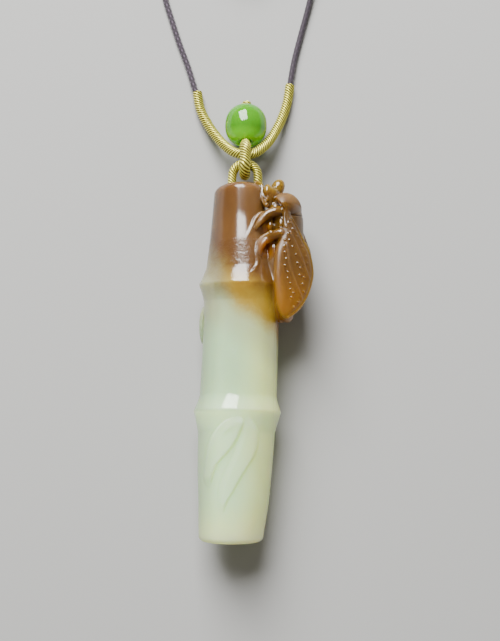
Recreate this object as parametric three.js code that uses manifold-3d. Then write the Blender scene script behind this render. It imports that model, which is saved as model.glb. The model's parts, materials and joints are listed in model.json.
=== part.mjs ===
// A jade pendant: a bamboo stem of three segments with a cicada on its side, under a jade bead,
// with its silk-wrapped links and its braided neck cord, lying loose on its back.
// Millimetres. The stem runs along +Y towards the cord, the carved front faces +Z, and z = 0 is
// the surface it lies on. The origin is on the flat spot at the back of the lower node.

import * as THREE from "three";
import { mergeVertices } from "three/addons/utils/BufferGeometryUtils.js";
import Module from "manifold-3d";

const wasm = await Module();
wasm.setup();

// Bamboo stem: lengths from the lower end up, then radii
const lowerLength = 21.15;
const middleLength = 21.5;
const upperLength = 17.1;
const lowerEndRadius = 5.25;
const lowerNodeRadius = 7.28;
const upperNodeRadius = 7.16;
const topRadius = 4.23;
const lowerSwell = 0.25; // the lower segment is a little full, the others are waisted
const middleWaist = 0.28;
const upperWaist = 0.25;
const nodeRidge = 0.8; // height of a node's ridge over the segments beside it
const nodeReach = 2.4; // how far along the stem a ridge fades out
const endRounding = 1.15;
const flatDepth = 0.26; // cut off the smaller node's back, so that the stem doesn't roll
const bowSide = 0.78; // the stem bows a little towards the cicada
const bowCentre = 17;
const bowFadeUp = 14;
const bowFadeDown = 24;

// Low relief of the two bamboo leaves, and the pad of the leaf behind the stem
const leafRelief = 0.4;
const underLeafRelief = 0.26;
const backLeafLength = 6.6;
const backLeafWidth = 5.2;
const backLeafRelief = 0.78;

// Cicada, from the front of its head to its wing tips; its wings are as thick as this in the middle
const cicadaLength = 24.9;
const wingThickness = 1.1;

// Silk ring through the top end, and its U-shaped hole
const ringThread = 1.5;
const ringRadius = 2.1; // of the centre line of its round ends
const ringSide = 0.95; // how far the ring sits towards the cicada
const ringArch = 4.1; // from the stem's top face to the top of the arch's centre line
const ringDepth = 3.7; // from the top face down to the bottom of the U
const threadClearance = 0.2;

// Jade bead on the link
const beadRadius = 3.64;
const beadLength = 6.9;
const beadTilt = THREE.MathUtils.degToRad(22);
const beadAhead = 12.1; // from the stem's top face to the bead's centre
const neckThread = 1.4;
const knobRadius = 0.9;
const knobReach = 1.15; // from the bead's upper mouth to the knob's centre

// Silk link that joins the ring, the sleeve and the bead
const linkThread = 1.7;
const linkNeckThread = 1.2;

// Silk-wrapped sleeve of the neck cord
const sleeveThread = 1.8;
const sleeveFromMouth = 3.0; // from the bead's lower mouth to the sleeve, along the link

// Braided neck cord, and the tie round its coil
const cordDiameter = 1.15;
const coilMeanRadius = 6.2;
const coilAcross = 4; // turns side by side
const coilLayers = 4;
const coilSide = -1.2;
const coilAhead = 53; // from the stem's top face to the coil's centre
const tieThickness = 0.4;
const tieWidth = 1.8;
const tieClearance = 0.25;

const axisHeight = Math.min(lowerNodeRadius, upperNodeRadius) - flatDepth;
const lowerEnd = -lowerLength;
const upperNode = middleLength;
const topFace = middleLength + upperLength;

const vector = ([x, y, z]) => new THREE.Vector3(x, y, z);
const { lerp, smoothstep } = THREE.MathUtils;

// Solids and what joins them

function closed(geometry) {
  const bare = geometry.clone();
  bare.deleteAttribute("normal");
  bare.deleteAttribute("uv");
  const merged = mergeVertices(bare, 1e-4);
  const p = merged.attributes.position.array;
  const index = Array.from(merged.index.array);
  const kept = [];
  let volume = 0;
  for (let i = 0; i < index.length; i += 3) {
    const [a, b, c] = index.slice(i, i + 3);
    if (a === b || b === c || c === a) continue;
    kept.push(a, b, c);
    const [ax, ay, az] = p.slice(3 * a, 3 * a + 3);
    const [bx, by, bz] = p.slice(3 * b, 3 * b + 3);
    const [cx, cy, cz] = p.slice(3 * c, 3 * c + 3);
    volume += ax * (by * cz - bz * cy) + ay * (bz * cx - bx * cz) + az * (bx * cy - by * cx);
  }
  if (volume < 0) kept.reverse();
  merged.setIndex(kept);
  return merged;
}

function solid(geometry) {
  const shape = closed(geometry);
  const vertProperties = new Float32Array(shape.attributes.position.array);
  const triVerts = new Uint32Array(shape.index.array);
  return new wasm.Manifold(new wasm.Mesh({ numProp: 3, vertProperties, triVerts }));
}

function geometryOf(manifold) {
  const { vertProperties, triVerts } = manifold.getMesh();
  const geometry = new THREE.BufferGeometry();
  geometry.setAttribute("position", new THREE.BufferAttribute(vertProperties, 3));
  geometry.setIndex(Array.from(triVerts));
  geometry.computeVertexNormals();
  return geometry;
}

function moveVertices(geometry, place) {
  const position = geometry.attributes.position;
  const point = new THREE.Vector3();
  for (let i = 0; i < position.count; i += 1) {
    point.fromBufferAttribute(position, i);
    point.copy(place(point, i));
    position.setXYZ(i, point.x, point.y, point.z);
  }
  return geometry;
}

// A point beside a curve: u and v are its distances from the centre line, across the reference
// direction and along it
function beside(curve, t, u, v, reference) {
  const tangent = curve.getTangentAt(t);
  const across = new THREE.Vector3().crossVectors(reference, tangent).normalize();
  const along = new THREE.Vector3().crossVectors(tangent, across);
  return curve.getPointAt(t).addScaledVector(across, u).addScaledVector(along, v);
}

function between(values, t) {
  const place = Math.min(Math.max(t, 0), 1) * (values.length - 1);
  const low = Math.min(Math.floor(place), values.length - 2);
  return lerp(values[low], values[low + 1], smoothstep(place - low, 0, 1));
}

// A tapering rod with round ends along a curve, such as a leg
function limb(points, radii, { reference = [0, 0, 1], sides = 8, steps }) {
  const curve = new THREE.CatmullRomCurve3(points.map(vector), false, "centripetal");
  const length = curve.getLength();
  const profile = [new THREE.Vector2(0, 0)];
  const capSteps = 2;
  const [first, last] = [radii[0], radii[radii.length - 1]];
  for (let i = 1; i <= capSteps; i += 1) {
    const turn = (i / capSteps) * (Math.PI / 2);
    profile.push(new THREE.Vector2(first * Math.sin(turn), first * (1 - Math.cos(turn))));
  }
  for (let i = 1; i < steps; i += 1) {
    const along = lerp(first, length - last, i / steps);
    profile.push(new THREE.Vector2(between(radii, along / length), along));
  }
  for (let i = capSteps; i >= 1; i -= 1) {
    const turn = (i / capSteps) * (Math.PI / 2);
    profile.push(new THREE.Vector2(last * Math.sin(turn), length - last * (1 - Math.cos(turn))));
  }
  profile.push(new THREE.Vector2(0, length));
  const up = vector(reference);
  const place = ({ x, y, z }) => beside(curve, Math.min(y / length, 1), x, z, up);
  return moveVertices(new THREE.LatheGeometry(profile, sides), place);
}

// A closed loop of thread along a closed curve
function loop(curve, radiusAt, { reference, sides = 10, steps = 40 }) {
  const geometry = new THREE.TorusGeometry(1, 0.5, sides, steps);
  const uv = geometry.attributes.uv;
  const place = (point, i) => {
    const t = uv.getX(i) % 1;
    const turn = (uv.getY(i) % 1) * 2 * Math.PI;
    const radius = radiusAt(t);
    return beside(curve, t, radius * Math.cos(turn), radius * Math.sin(turn), reference);
  };
  return moveVertices(geometry, place);
}

function ellipsoid([x, y, z], [rx, ry, rz], { turn = 0, lean = 0, sides = 20, rings = 12 } = {}) {
  const geometry = new THREE.SphereGeometry(1, sides, rings);
  geometry.scale(rx, ry, rz);
  geometry.rotateZ(lean);
  geometry.rotateY(-turn);
  geometry.translate(x, y, z);
  return geometry;
}

function outline(points) {
  const curve = new THREE.CatmullRomCurve3(
    points.map(([x, y]) => new THREE.Vector3(x, y, 0)),
    true,
    "centripetal",
  );
  const places = curve.getPoints(points.length * 3).slice(0, -1);
  return new THREE.Shape(places.map(({ x, y }) => new THREE.Vector2(x, y)));
}

// Bamboo stem

function bow(y) {
  const fade = y > bowCentre ? bowFadeUp : bowFadeDown;
  return bowSide * Math.exp(-(((y - bowCentre) / fade) ** 2));
}

function ridge(y) {
  const near = (node) => Math.max(0, 1 - Math.abs(y - node) / nodeReach) ** 1.25;
  return nodeRidge * Math.max(near(0), near(upperNode));
}

const segments = [
  { from: lowerEnd, to: 0, radii: [lowerEndRadius, lowerNodeRadius - nodeRidge], swell: lowerSwell },
  {
    from: 0,
    to: upperNode,
    radii: [lowerNodeRadius - nodeRidge, upperNodeRadius - nodeRidge],
    swell: -middleWaist,
  },
  { from: upperNode, to: topFace, radii: [upperNodeRadius - nodeRidge, topRadius], swell: -upperWaist },
];

function stemRadius(y) {
  const { from, to, radii, swell } = segments.find((segment) => y <= segment.to) ?? segments[2];
  const t = (y - from) / (to - from);
  return lerp(...radii, t) + swell * Math.sin(Math.PI * t) + ridge(y);
}

function stem(grow = 0, sides = 36) {
  const profile = [new THREE.Vector2(0, lowerEnd - grow)];
  const corner = (end, inward) => {
    for (const turn of [0, 30, 60]) {
      const angle = THREE.MathUtils.degToRad(turn);
      const y = end + inward * endRounding * (1 - Math.sin(angle));
      const pulled = endRounding * (1 - Math.cos(angle));
      profile.push(new THREE.Vector2(stemRadius(y) + grow - pulled, y - inward * grow));
    }
  };
  const body = [];
  for (const { from, to } of segments) {
    for (const part of [0, 0.06, 0.12, 0.38, 0.62, 0.88, 0.94]) body.push(lerp(from, to, part));
  }
  const inner = [lowerEnd + endRounding, topFace - endRounding];
  corner(lowerEnd, 1);
  const lowCorner = profile.splice(1).reverse();
  profile.push(...lowCorner);
  for (const y of body) {
    if (y > inner[0] + 0.3 && y < inner[1] - 0.3) {
      profile.push(new THREE.Vector2(stemRadius(y) + grow, y));
    }
  }
  corner(topFace, -1);
  profile.push(new THREE.Vector2(0, topFace + grow));
  const place = ({ x, y, z }) => new THREE.Vector3(x + bow(y), y, z + axisHeight);
  return solid(moveVertices(new THREE.LatheGeometry(profile, sides), place));
}

// Leaves: an outline cut through a stem that is a little fatter. Their points are shares of the
// lower segment's radius and length, from the lower node.

const overLeaf = [
  [0.03, -0.055],
  [-0.35, -0.096],
  [-0.62, -0.237],
  [-0.72, -0.42],
  [-0.6, -0.589],
  [-0.51, -0.452],
  [-0.28, -0.342],
  [0.06, -0.205],
  [0.17, -0.119],
];
const underLeaf = [
  [0.37, -0.132],
  [0.09, -0.196],
  [-0.34, -0.406],
  [-0.42, -0.548],
  [-0.26, -0.795],
  [-0.14, -0.658],
  [0.11, -0.534],
  [0.42, -0.374],
  [0.58, -0.247],
  [0.58, -0.169],
];

function leafOnFront(shares, relief) {
  const width = lowerNodeRadius - nodeRidge;
  const points = shares.map(([across, along]) => [across * width, along * lowerLength]);
  const depth = 2 * axisHeight;
  const geometry = new THREE.ExtrudeGeometry(outline(points), { depth, bevelEnabled: false });
  geometry.translate(0, 0, axisHeight);
  return solid(geometry).intersect(stem(relief));
}

// The leaf behind the stem shows only its edge from the front
function backLeaf() {
  const along = 0.68 * middleLength;
  const behind = THREE.MathUtils.degToRad(198);
  const centre = onStem(behind, along, -0.05);
  const size = [backLeafRelief, backLeafLength / 2, backLeafWidth / 2];
  return ellipsoid(centre, size, { turn: behind - Math.PI, sides: 16, rings: 10 });
}

function onStem(angle, y, lift) {
  const radius = stemRadius(y) + lift;
  return [bow(y) + radius * Math.cos(angle), y, axisHeight + radius * Math.sin(angle)];
}

// Cicada: it clings head up to the stem's side, its back turned a little to the front. Its points
// are hundredths of its length, from the stem's side at the upper node and the stem's axis.

const hundredth = cicadaLength / 100;
const cicadaSide = upperNodeRadius - nodeRidge + bow(upperNode);
const cicadaTurn = THREE.MathUtils.degToRad(20);
const middlePlane = onCicada([3.9, 0, 8.2]);
const wingTilt = THREE.MathUtils.degToRad(23);
const wingRoot = onCicada([-1.4, 0, 25.3]);

function onCicada([x, y, z]) {
  return [cicadaSide + x * hundredth, upperNode + y * hundredth, axisHeight + z * hundredth];
}

// The wing's two edges from base to tip: across the wing, and along it
const nearEdge = [
  [7.8, 44.9],
  [2.4, 37.1],
  [2.0, 27.3],
  [0.0, 13.1],
  [0.4, -8.2],
  [2.4, -20.0],
  [7.3, -24.1],
];
const farEdge = [
  [7.8, 44.9],
  [13.5, 38.4],
  [19.6, 27.3],
  [26.1, 10.2],
  [23.7, -3.3],
  [16.7, -15.9],
  [7.3, -24.1],
];

function flatCurve(points) {
  return new THREE.CatmullRomCurve3(points.map(([x, y]) => new THREE.Vector3(x, y, 0)));
}

// A lens-shaped wing: each ring of a ball is stretched between the two edges
function leftWing() {
  const [near, far] = [flatCurve(nearEdge), flatCurve(farEdge)];
  const place = ({ x, y, z }) => {
    const t = Math.acos(THREE.MathUtils.clamp(y, -1, 1)) / Math.PI;
    const ring = Math.sin(Math.PI * t);
    const [ux, uz] = ring > 1e-6 ? [x / ring, z / ring] : [0, 0];
    const along = near.getPoint(t).lerp(far.getPoint(t), (1 + ux) / 2).multiplyScalar(hundredth);
    const out = (wingThickness * uz * Math.sqrt(ring)) / 1.5;
    return new THREE.Vector3(
      wingRoot[0] + along.x * Math.cos(wingTilt) + out * Math.sin(wingTilt),
      upperNode + along.y,
      wingRoot[2] - along.x * Math.sin(wingTilt) + out * Math.cos(wingTilt),
    );
  };
  return moveVertices(new THREE.SphereGeometry(1, 16, 12), place);
}

// The far side of the cicada mirrors the near side about its middle plane
function mirrored(geometry) {
  const [dx, dz] = [Math.cos(cicadaTurn), Math.sin(cicadaTurn)];
  const place = ({ x, y, z }) => {
    const off = -(x - middlePlane[0]) * dz + (z - middlePlane[2]) * dx;
    return new THREE.Vector3(x + 2 * off * dz, y, z - 2 * off * dx);
  };
  return moveVertices(geometry, place);
}

// Centre and radii of each rounded mass, and how far it leans
const cicadaMasses = [
  { at: [5.2, 13.5, 8.6], size: [15.5, 42, 13.5], lean: 0.03 }, // abdomen
  { at: [5.0, 38.8, 9.0], size: [11.4, 20.4, 15.1], lean: -0.12 }, // back between the wings
  { at: [3.9, 50.2, 10.2], size: [10.2, 10.8, 14.7], lean: 0 }, // collar behind the head
  { at: [-4.6, 59.6, 9.4], size: [6.9, 6.9, 10.6], lean: 0.3 }, // head
  { at: [-2.0, 66.8, 4.6], size: [4.5, 6.2, 5.5], lean: 0 }, // far eye
  { at: [-9.8, 61.6, 15.8], size: [3.6, 4.7, 4.0], lean: 0 }, // near eye
];

// Each leg leaves the body at its hip and then follows the stem, so that it keeps its hold on it:
// degrees round the stem, place along it, lift off it
const nearLegs = [
  {
    hip: [-1.8, 46.5, 16.7],
    hold: [
      [45, 46.5, 10.0],
      [53, 44.5, 7.4],
      [60.5, 40.8, 4.4],
      [65.5, 35.5, 2.3],
      [72, 30.2, 1.1],
      [81, 26.9, -0.2],
    ],
    radii: [5.1, 4.7, 4.0, 3.4, 2.7, 1.9],
  },
  {
    hip: [0.7, 30.6, 20.4],
    hold: [
      [44, 29.4, 11.5],
      [51, 27.8, 8.3],
      [56, 23.7, 4.9],
      [58.5, 18.4, 2.3],
      [60.5, 12.7, 1.0],
      [63, 8.2, 0.7],
      [72.5, 5.3, -0.2],
    ],
    radii: [3.8, 3.6, 3.4, 2.5, 1.9, 1.7],
  },
  {
    hip: [-8.7, 51.0, 15.1],
    hold: [
      [41.5, 55.1, 2.9],
      [40, 61.2, 2.2],
      [41.5, 66.1, 0],
    ],
    radii: [2.3, 1.9, 1.6, 1.6],
  },
];
const farLegs = [
  {
    hip: [3.9, 47, -7.8],
    hold: [
      [-25, 45, 3.7],
      [-45, 39, 2.0],
      [-58, 28, 0.8],
    ],
    radii: [4.5, 3.5, 2.5, 1.8],
  },
  {
    hip: [3.9, 31, -6.1],
    hold: [
      [-22, 28, 2.9],
      [-38, 21, 1.6],
      [-46, 9, 0.4],
    ],
    radii: [3.7, 2.9, 2.0, 1.6],
  },
];

function cicada() {
  const scaled = (values) => values.map((value) => value * hundredth);
  const masses = cicadaMasses.map(({ at, size, lean }, i) => {
    const detail = i < 3 ? { sides: 18, rings: 10 } : { sides: 12, rings: 8 };
    return ellipsoid(onCicada(at), scaled(size), { turn: cicadaTurn, lean, ...detail });
  });
  const leg = (detail) => ({ hip, hold, radii }) => {
    const held = hold.map(([degrees, along, lift]) =>
      onStem(THREE.MathUtils.degToRad(degrees), upperNode + along * hundredth, lift * hundredth),
    );
    return limb([onCicada(hip), ...held], scaled(radii), detail);
  };
  const near = nearLegs.map(leg({ sides: 8, steps: 10 }));
  const far = farLegs.map(leg({ sides: 6, steps: 7 }));
  const pieces = [...masses, leftWing(), mirrored(leftWing()), ...near, ...far];
  return pieces.map(solid).reduce((whole, piece) => whole.add(piece));
}

// Silk ring: two half rounds joined by straight runs, half of it inside the stem's top end

function ringCurve() {
  const path = new THREE.CurvePath();
  const arch = topFace + ringArch - ringRadius;
  const foot = topFace - ringDepth + ringRadius;
  const at = (x, y) => new THREE.Vector3(ringSide + x, y, axisHeight);
  const half = (y, start) => {
    const points = [];
    for (let i = 0; i <= 8; i += 1) {
      const turn = start + (i / 8) * Math.PI;
      points.push(at(ringRadius * Math.cos(turn), y + ringRadius * Math.sin(turn)));
    }
    return points;
  };
  const places = [...half(arch, 0), ...half(foot, Math.PI)];
  places.push(places[0].clone());
  for (let i = 1; i < places.length; i += 1) {
    path.add(new THREE.LineCurve3(places[i - 1], places[i]));
  }
  return path;
}

function ringSolid(thread, sides) {
  const even = () => thread / 2;
  return loop(ringCurve(), even, { reference: new THREE.Vector3(0, 0, 1), sides, steps: 36 });
}

// The jade carving, one stone

function carving() {
  const belowFloor = new THREE.BoxGeometry(4 * axisHeight, 2 * topFace + lowerLength, 2 * axisHeight);
  belowFloor.translate(0, 0, -axisHeight);
  const leaves = leafOnFront(overLeaf, leafRelief).add(leafOnFront(underLeaf, underLeafRelief));
  const tunnel = solid(ringSolid(ringThread + 2 * threadClearance, 10));
  return stem()
    .add(leaves)
    .add(solid(backLeaf()))
    .add(cicada())
    .subtract(tunnel)
    .subtract(solid(belowFloor));
}

// Bead: a barrel bored along its axis, its lower mouth tipped up towards the link

const linkSide = ringSide;
const mouthTurn = THREE.MathUtils.degToRad(64); // from the barrel's middle to its mouths
const barrelHalf = beadLength / 2 / Math.sin(mouthTurn);
const beadHeight = Math.hypot(beadRadius * Math.cos(beadTilt), barrelHalf * Math.sin(beadTilt));
const beadCentre = new THREE.Vector3(linkSide, topFace + beadAhead, beadHeight);
const linkDirection = new THREE.Vector3(0, -Math.cos(beadTilt), Math.sin(beadTilt));
const linkUp = new THREE.Vector3(0, Math.sin(beadTilt), Math.cos(beadTilt));

function alongLink(fromCentre, up = 0) {
  return beadCentre.clone().addScaledVector(linkDirection, fromCentre).addScaledVector(linkUp, up);
}

function bead() {
  const bore = neckThread / 2 + threadClearance;
  const half = beadLength / 2;
  const profile = [new THREE.Vector2(bore, -half)];
  for (let i = -4; i <= 4; i += 1) {
    const turn = (i / 4) * mouthTurn;
    profile.push(new THREE.Vector2(beadRadius * Math.cos(turn), barrelHalf * Math.sin(turn)));
  }
  profile.push(new THREE.Vector2(bore, half));
  profile.push(new THREE.Vector2(bore, -half));
  const geometry = new THREE.LatheGeometry(profile, 24);
  geometry.rotateX(-beadTilt);
  return geometry.translate(...beadCentre.toArray());
}

// Link: a long loop round the ring and the sleeve, with its neck through the bead

const mouth = beadLength / 2;
const archCentre = new THREE.Vector3(ringSide, topFace + ringArch, axisHeight);
const archAlong = archCentre.clone().sub(beadCentre).dot(linkDirection);
const archUp = archCentre.clone().sub(beadCentre).dot(linkUp);

function linkCurve() {
  const room = threadClearance + linkThread / 2;
  const roundRing = ringThread / 2 + room;
  const roundSleeve = sleeveThread / 2 + room - 0.1;
  const neck = linkNeckThread / 4;
  const sleeve = mouth + sleeveFromMouth;
  const side = (way) => [
    alongLink(mouth + 0.2, way * neck),
    alongLink(mouth + 1.3, way * roundSleeve * 0.62),
    alongLink(sleeve, way * roundSleeve),
    alongLink(archAlong, archUp + way * roundRing),
    alongLink(archAlong + roundRing * 0.72, archUp + way * roundRing * 0.72),
  ];
  const places = [...side(1), alongLink(archAlong + roundRing, archUp), ...side(-1).reverse()];
  return new THREE.CatmullRomCurve3(places, true, "centripetal");
}

function link() {
  const thin = linkNeckThread / 2;
  const thick = linkThread / 2;
  const radiusAt = (t) => lerp(thin, thick, smoothstep(Math.min(t, 1 - t), 0.06, 0.3));
  const round = loop(linkCurve(), radiusAt, { reference: new THREE.Vector3(1, 0, 0), sides: 8, steps: 30 });
  const knob = mouth + knobReach;
  const neckPoints = [alongLink(mouth + 0.9), alongLink(0), alongLink(-knob)];
  const neck = neckThread / 2;
  const stalk = limb(
    neckPoints.map((point) => point.toArray()),
    [neck, neck, neck],
    { reference: [1, 0, 0], steps: 5 },
  );
  const end = new THREE.SphereGeometry(knobRadius, 10, 6);
  end.translate(...alongLink(-knob).toArray());
  return solid(round).add(solid(stalk)).add(solid(end));
}

// Sleeve: a U of wrapped cord through the link, round the bead and down to the surface. Each point
// has its direction from the bead, its gap to the bead and its height over where the sleeve rests.

const sleeveRest = sleeveThread / 2;
const leftArm = [
  [142, 6.8, 0],
  [154.5, 4.7, 0.15],
  [170.5, 2.6, 0.8],
  [196, 1.05, 1.9],
  [229, 0.75, 3.4],
  [253, 1.25, 4.7],
];
const rightArm = [
  [285, 1.15, 4.7],
  [315, 0.45, 3.4],
  [351, 0.6, 1.9],
  [19.5, 2.2, 0.8],
  [36.5, 4.5, 0.2],
  [48, 7.05, 0],
];

function besideBead([degrees, gap, rise]) {
  const turn = THREE.MathUtils.degToRad(degrees);
  const far = beadRadius + sleeveThread / 2 + gap;
  const { x, y } = beadCentre;
  return [x + far * Math.cos(turn), y + far * Math.sin(turn), sleeveRest + rise];
}

const sleeveRoute = [
  ...leftArm.map(besideBead),
  alongLink(mouth + sleeveFromMouth).toArray(),
  ...rightArm.map(besideBead),
];

function tube(points, diameter, { sides, steps }) {
  const section = new THREE.Shape();
  for (let i = 0; i < sides; i += 1) {
    const turn = (i / sides) * 2 * Math.PI;
    const [x, y] = [(diameter / 2) * Math.cos(turn), (diameter / 2) * Math.sin(turn)];
    if (i === 0) section.moveTo(x, y);
    else section.lineTo(x, y);
  }
  const extrudePath = new THREE.CatmullRomCurve3(points.map(vector), false, "centripetal");
  return new THREE.ExtrudeGeometry(section, { steps, extrudePath, bevelEnabled: false });
}

// Neck cord: its two legs leave the sleeve's ends, and the rest is wound into a coil with a tie.
// Their points are measured from the stem's top face.

const cordRest = cordDiameter / 2 + 0.02; // a hair over the surface
const leftRoute = [
  [-8.35, 19.4, sleeveRest],
  [-9.05, 21.5, sleeveRest - 0.1],
  [-9.85, 24.0, cordRest + 0.05],
  [-11.7, 28.85, cordRest],
  [-13.1, 33.0, cordRest],
  [-14.35, 36.9, cordRest],
  [-15.0, 40.6, cordRest],
  [-14.4, 44.8, cordRest],
  [-12.75, 49.0, cordRest],
  [-10.9, 52.2, cordRest + 0.1],
];
const rightRoute = [
  [8.85, 21.4, sleeveRest],
  [9.15, 23.5, sleeveRest - 0.1],
  [9.55, 25.8, cordRest + 0.05],
  [10.75, 30.9, cordRest],
  [11.6, 34.3, cordRest],
  [12.3, 37.4, cordRest + 0.05],
  [12.8, 41.2, cordRest + 0.5],
  [12.25, 45.0, cordRest + 1.5],
  [10.7, 48.9, cordRest + 2.8],
  [8.9, 51.9, cordRest + 3.5],
];

function cordLeg(route) {
  const points = route.map(([x, y, z]) => [x, topFace + y, z]);
  return tube(points, cordDiameter, { sides: 8, steps: 14 });
}

const coilHalfWidth = (coilAcross * cordDiameter) / 2;
const coilBottom = tieThickness + tieClearance / 2;
const coilHeight = coilLayers * cordDiameter;

function coil() {
  const [inner, outer] = [coilMeanRadius - coilHalfWidth, coilMeanRadius + coilHalfWidth];
  const coilTop = coilBottom + coilHeight;
  const round = cordDiameter / 3;
  const profile = [
    [inner, coilBottom + round],
    [inner + round, coilBottom],
    [outer - round, coilBottom],
    [outer, coilBottom + round],
    [outer, coilTop - round],
    [outer - round, coilTop],
    [inner + round, coilTop],
    [inner, coilTop - round],
    [inner, coilBottom + round],
  ].map(([x, y]) => new THREE.Vector2(x, y));
  const geometry = new THREE.LatheGeometry(profile, 28);
  geometry.rotateX(Math.PI / 2);
  return geometry.translate(coilSide, topFace + coilAhead, 0);
}

// The tie is a band round the coil's section, on the side towards the bead
function coilTie() {
  const half = coilHalfWidth + tieClearance;
  const frame = (grow) => {
    const [side, low, high] = [half + grow, tieThickness - grow, coilBottom + coilHeight + tieClearance + grow];
    const cut = cordDiameter / 4;
    return [
      [-side + cut, low],
      [side - cut, low],
      [side, low + cut],
      [side, high - cut],
      [side - cut, high],
      [-side + cut, high],
      [-side, high - cut],
      [-side, low + cut],
    ].map(([x, y]) => new THREE.Vector2(x, y));
  };
  const band = new THREE.Shape(frame(tieThickness));
  band.holes.push(new THREE.Path(frame(0)));
  const geometry = new THREE.ExtrudeGeometry(band, { depth: tieWidth, bevelEnabled: false });
  geometry.rotateX(Math.PI / 2);
  geometry.rotateZ(-Math.PI / 2);
  return geometry.translate(coilSide + tieWidth / 2, topFace + coilAhead - coilMeanRadius, 0);
}

// Parts

const nephrite = new THREE.MeshStandardMaterial({ color: 0xc4cfae, roughness: 0.15, metalness: 0 });
const spinach = new THREE.MeshStandardMaterial({ color: 0x6eaf32, roughness: 0.12, metalness: 0 });
const silk = new THREE.MeshStandardMaterial({ color: 0xbdb25a, roughness: 0.55, metalness: 0 });
const braid = new THREE.MeshStandardMaterial({ color: 0x4b324b, roughness: 0.7, metalness: 0 });

function part(name, geometry, material) {
  const mesh = new THREE.Mesh(geometry, material);
  mesh.name = name;
  return mesh;
}

const pendant = new THREE.Group();
pendant.add(part("jade_carving", geometryOf(carving()), nephrite));
pendant.add(part("jade_bead", closed(bead()), spinach));
pendant.add(part("pendant_ring", closed(ringSolid(ringThread, 8)), silk));
pendant.add(part("bead_link", geometryOf(link()), silk));
pendant.add(part("neck_sleeve", closed(tube(sleeveRoute, sleeveThread, { sides: 8, steps: 26 })), silk));
pendant.add(part("neck_cord_left", closed(cordLeg(leftRoute)), braid));
pendant.add(part("neck_cord_right", closed(cordLeg(rightRoute)), braid));
pendant.add(part("neck_cord_coil", closed(coil()), braid));
pendant.add(part("coil_tie", closed(coilTie()), silk));

export default pendant;
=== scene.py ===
# %% [markdown]
# # A jade bamboo stem with a cicada, on its cord
# The real thing is one small stone, polished all over, with a round bead and a few bits of
# silk-wrapped cord. It is about as long as a thumb. This lesson makes it piece by piece: first
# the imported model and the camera, then the cord, the wrapped threads, the bead and, last and
# longest, the carving.

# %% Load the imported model
import json
import math

import bpy
import numpy as np
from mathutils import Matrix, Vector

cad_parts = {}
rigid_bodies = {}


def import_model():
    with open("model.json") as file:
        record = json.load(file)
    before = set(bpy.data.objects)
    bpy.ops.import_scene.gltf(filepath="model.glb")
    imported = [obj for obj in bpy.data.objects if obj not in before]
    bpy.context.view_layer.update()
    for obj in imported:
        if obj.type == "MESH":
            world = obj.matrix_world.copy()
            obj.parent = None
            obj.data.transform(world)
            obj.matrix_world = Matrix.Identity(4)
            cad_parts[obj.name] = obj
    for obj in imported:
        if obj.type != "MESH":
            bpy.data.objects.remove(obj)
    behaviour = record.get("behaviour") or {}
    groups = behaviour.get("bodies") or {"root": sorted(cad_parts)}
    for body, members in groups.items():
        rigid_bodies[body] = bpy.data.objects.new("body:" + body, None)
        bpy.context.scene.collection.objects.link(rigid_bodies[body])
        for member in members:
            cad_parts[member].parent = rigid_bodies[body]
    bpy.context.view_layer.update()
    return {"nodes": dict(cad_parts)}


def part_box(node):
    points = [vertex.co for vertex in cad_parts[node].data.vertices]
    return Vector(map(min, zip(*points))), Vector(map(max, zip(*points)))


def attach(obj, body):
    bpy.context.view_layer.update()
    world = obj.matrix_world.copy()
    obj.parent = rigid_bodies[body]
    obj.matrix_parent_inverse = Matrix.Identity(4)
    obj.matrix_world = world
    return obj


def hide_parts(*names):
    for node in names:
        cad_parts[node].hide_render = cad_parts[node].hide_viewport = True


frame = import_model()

import openvdb
from mathutils import Matrix, Vector

MM = 0.001
for name in frame["nodes"]:
    low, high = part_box(name)
    print(name, [round((b - a) / MM, 1) for a, b in zip(low, high)], "mm")

# %% [markdown]
# ## The camera
# The photograph looks almost straight down on the carving from hand height, with the lens a
# little below its middle. A camera is a point, a direction and a roll; building its matrix from
# those three is exact and needs no constraint.

# %% Camera
EYE = Vector((2.63, -3.07, 159.45)) * MM
AIM = Vector((2.30, 15.48, 6.90)) * MM
ROLL = math.radians(1.026)
PICTURE_HEIGHT = 641
LENS_IN_PIXELS = 906.7

ahead = (AIM - EYE).normalized()
across = ahead.cross(Vector((-math.sin(ROLL), math.cos(ROLL), 0))).normalized()
above = across.cross(ahead)

camera_data = bpy.data.cameras.new("camera")
camera_data.sensor_width = 36
camera_data.lens = LENS_IN_PIXELS * camera_data.sensor_width / PICTURE_HEIGHT
camera_data.clip_start = 0.01
camera = bpy.data.objects.new("camera", camera_data)
camera.matrix_world = Matrix((
    (across.x, above.x, -ahead.x, EYE.x),
    (across.y, above.y, -ahead.y, EYE.y),
    (across.z, above.z, -ahead.z, EYE.z),
    (0, 0, 0, 1),
))
bpy.context.scene.collection.objects.link(camera)
bpy.context.scene.camera = camera
print("lens", round(camera_data.lens, 1), "mm")

# %% [markdown]
# ## Floor and light
# A polished stone shows its shape by what it mirrors. Small lamps would leave hard spots on it.
# One large soft window, high on the cord's side and a little to the left, gives the bright
# patches above the nodes and on the bead; a pale sky fills the rest.

# %% Floor and light
def add_object(name, data):
    made = bpy.data.objects.new(name, data)
    bpy.context.scene.collection.objects.link(made)
    return made


def plain_surface(name, colour, roughness):
    material = bpy.data.materials.new(name)
    material.use_nodes = True
    shader = material.node_tree.nodes["Principled BSDF"]
    shader.inputs["Base Color"].default_value = (*colour, 1)
    shader.inputs["Roughness"].default_value = roughness
    return material


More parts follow.
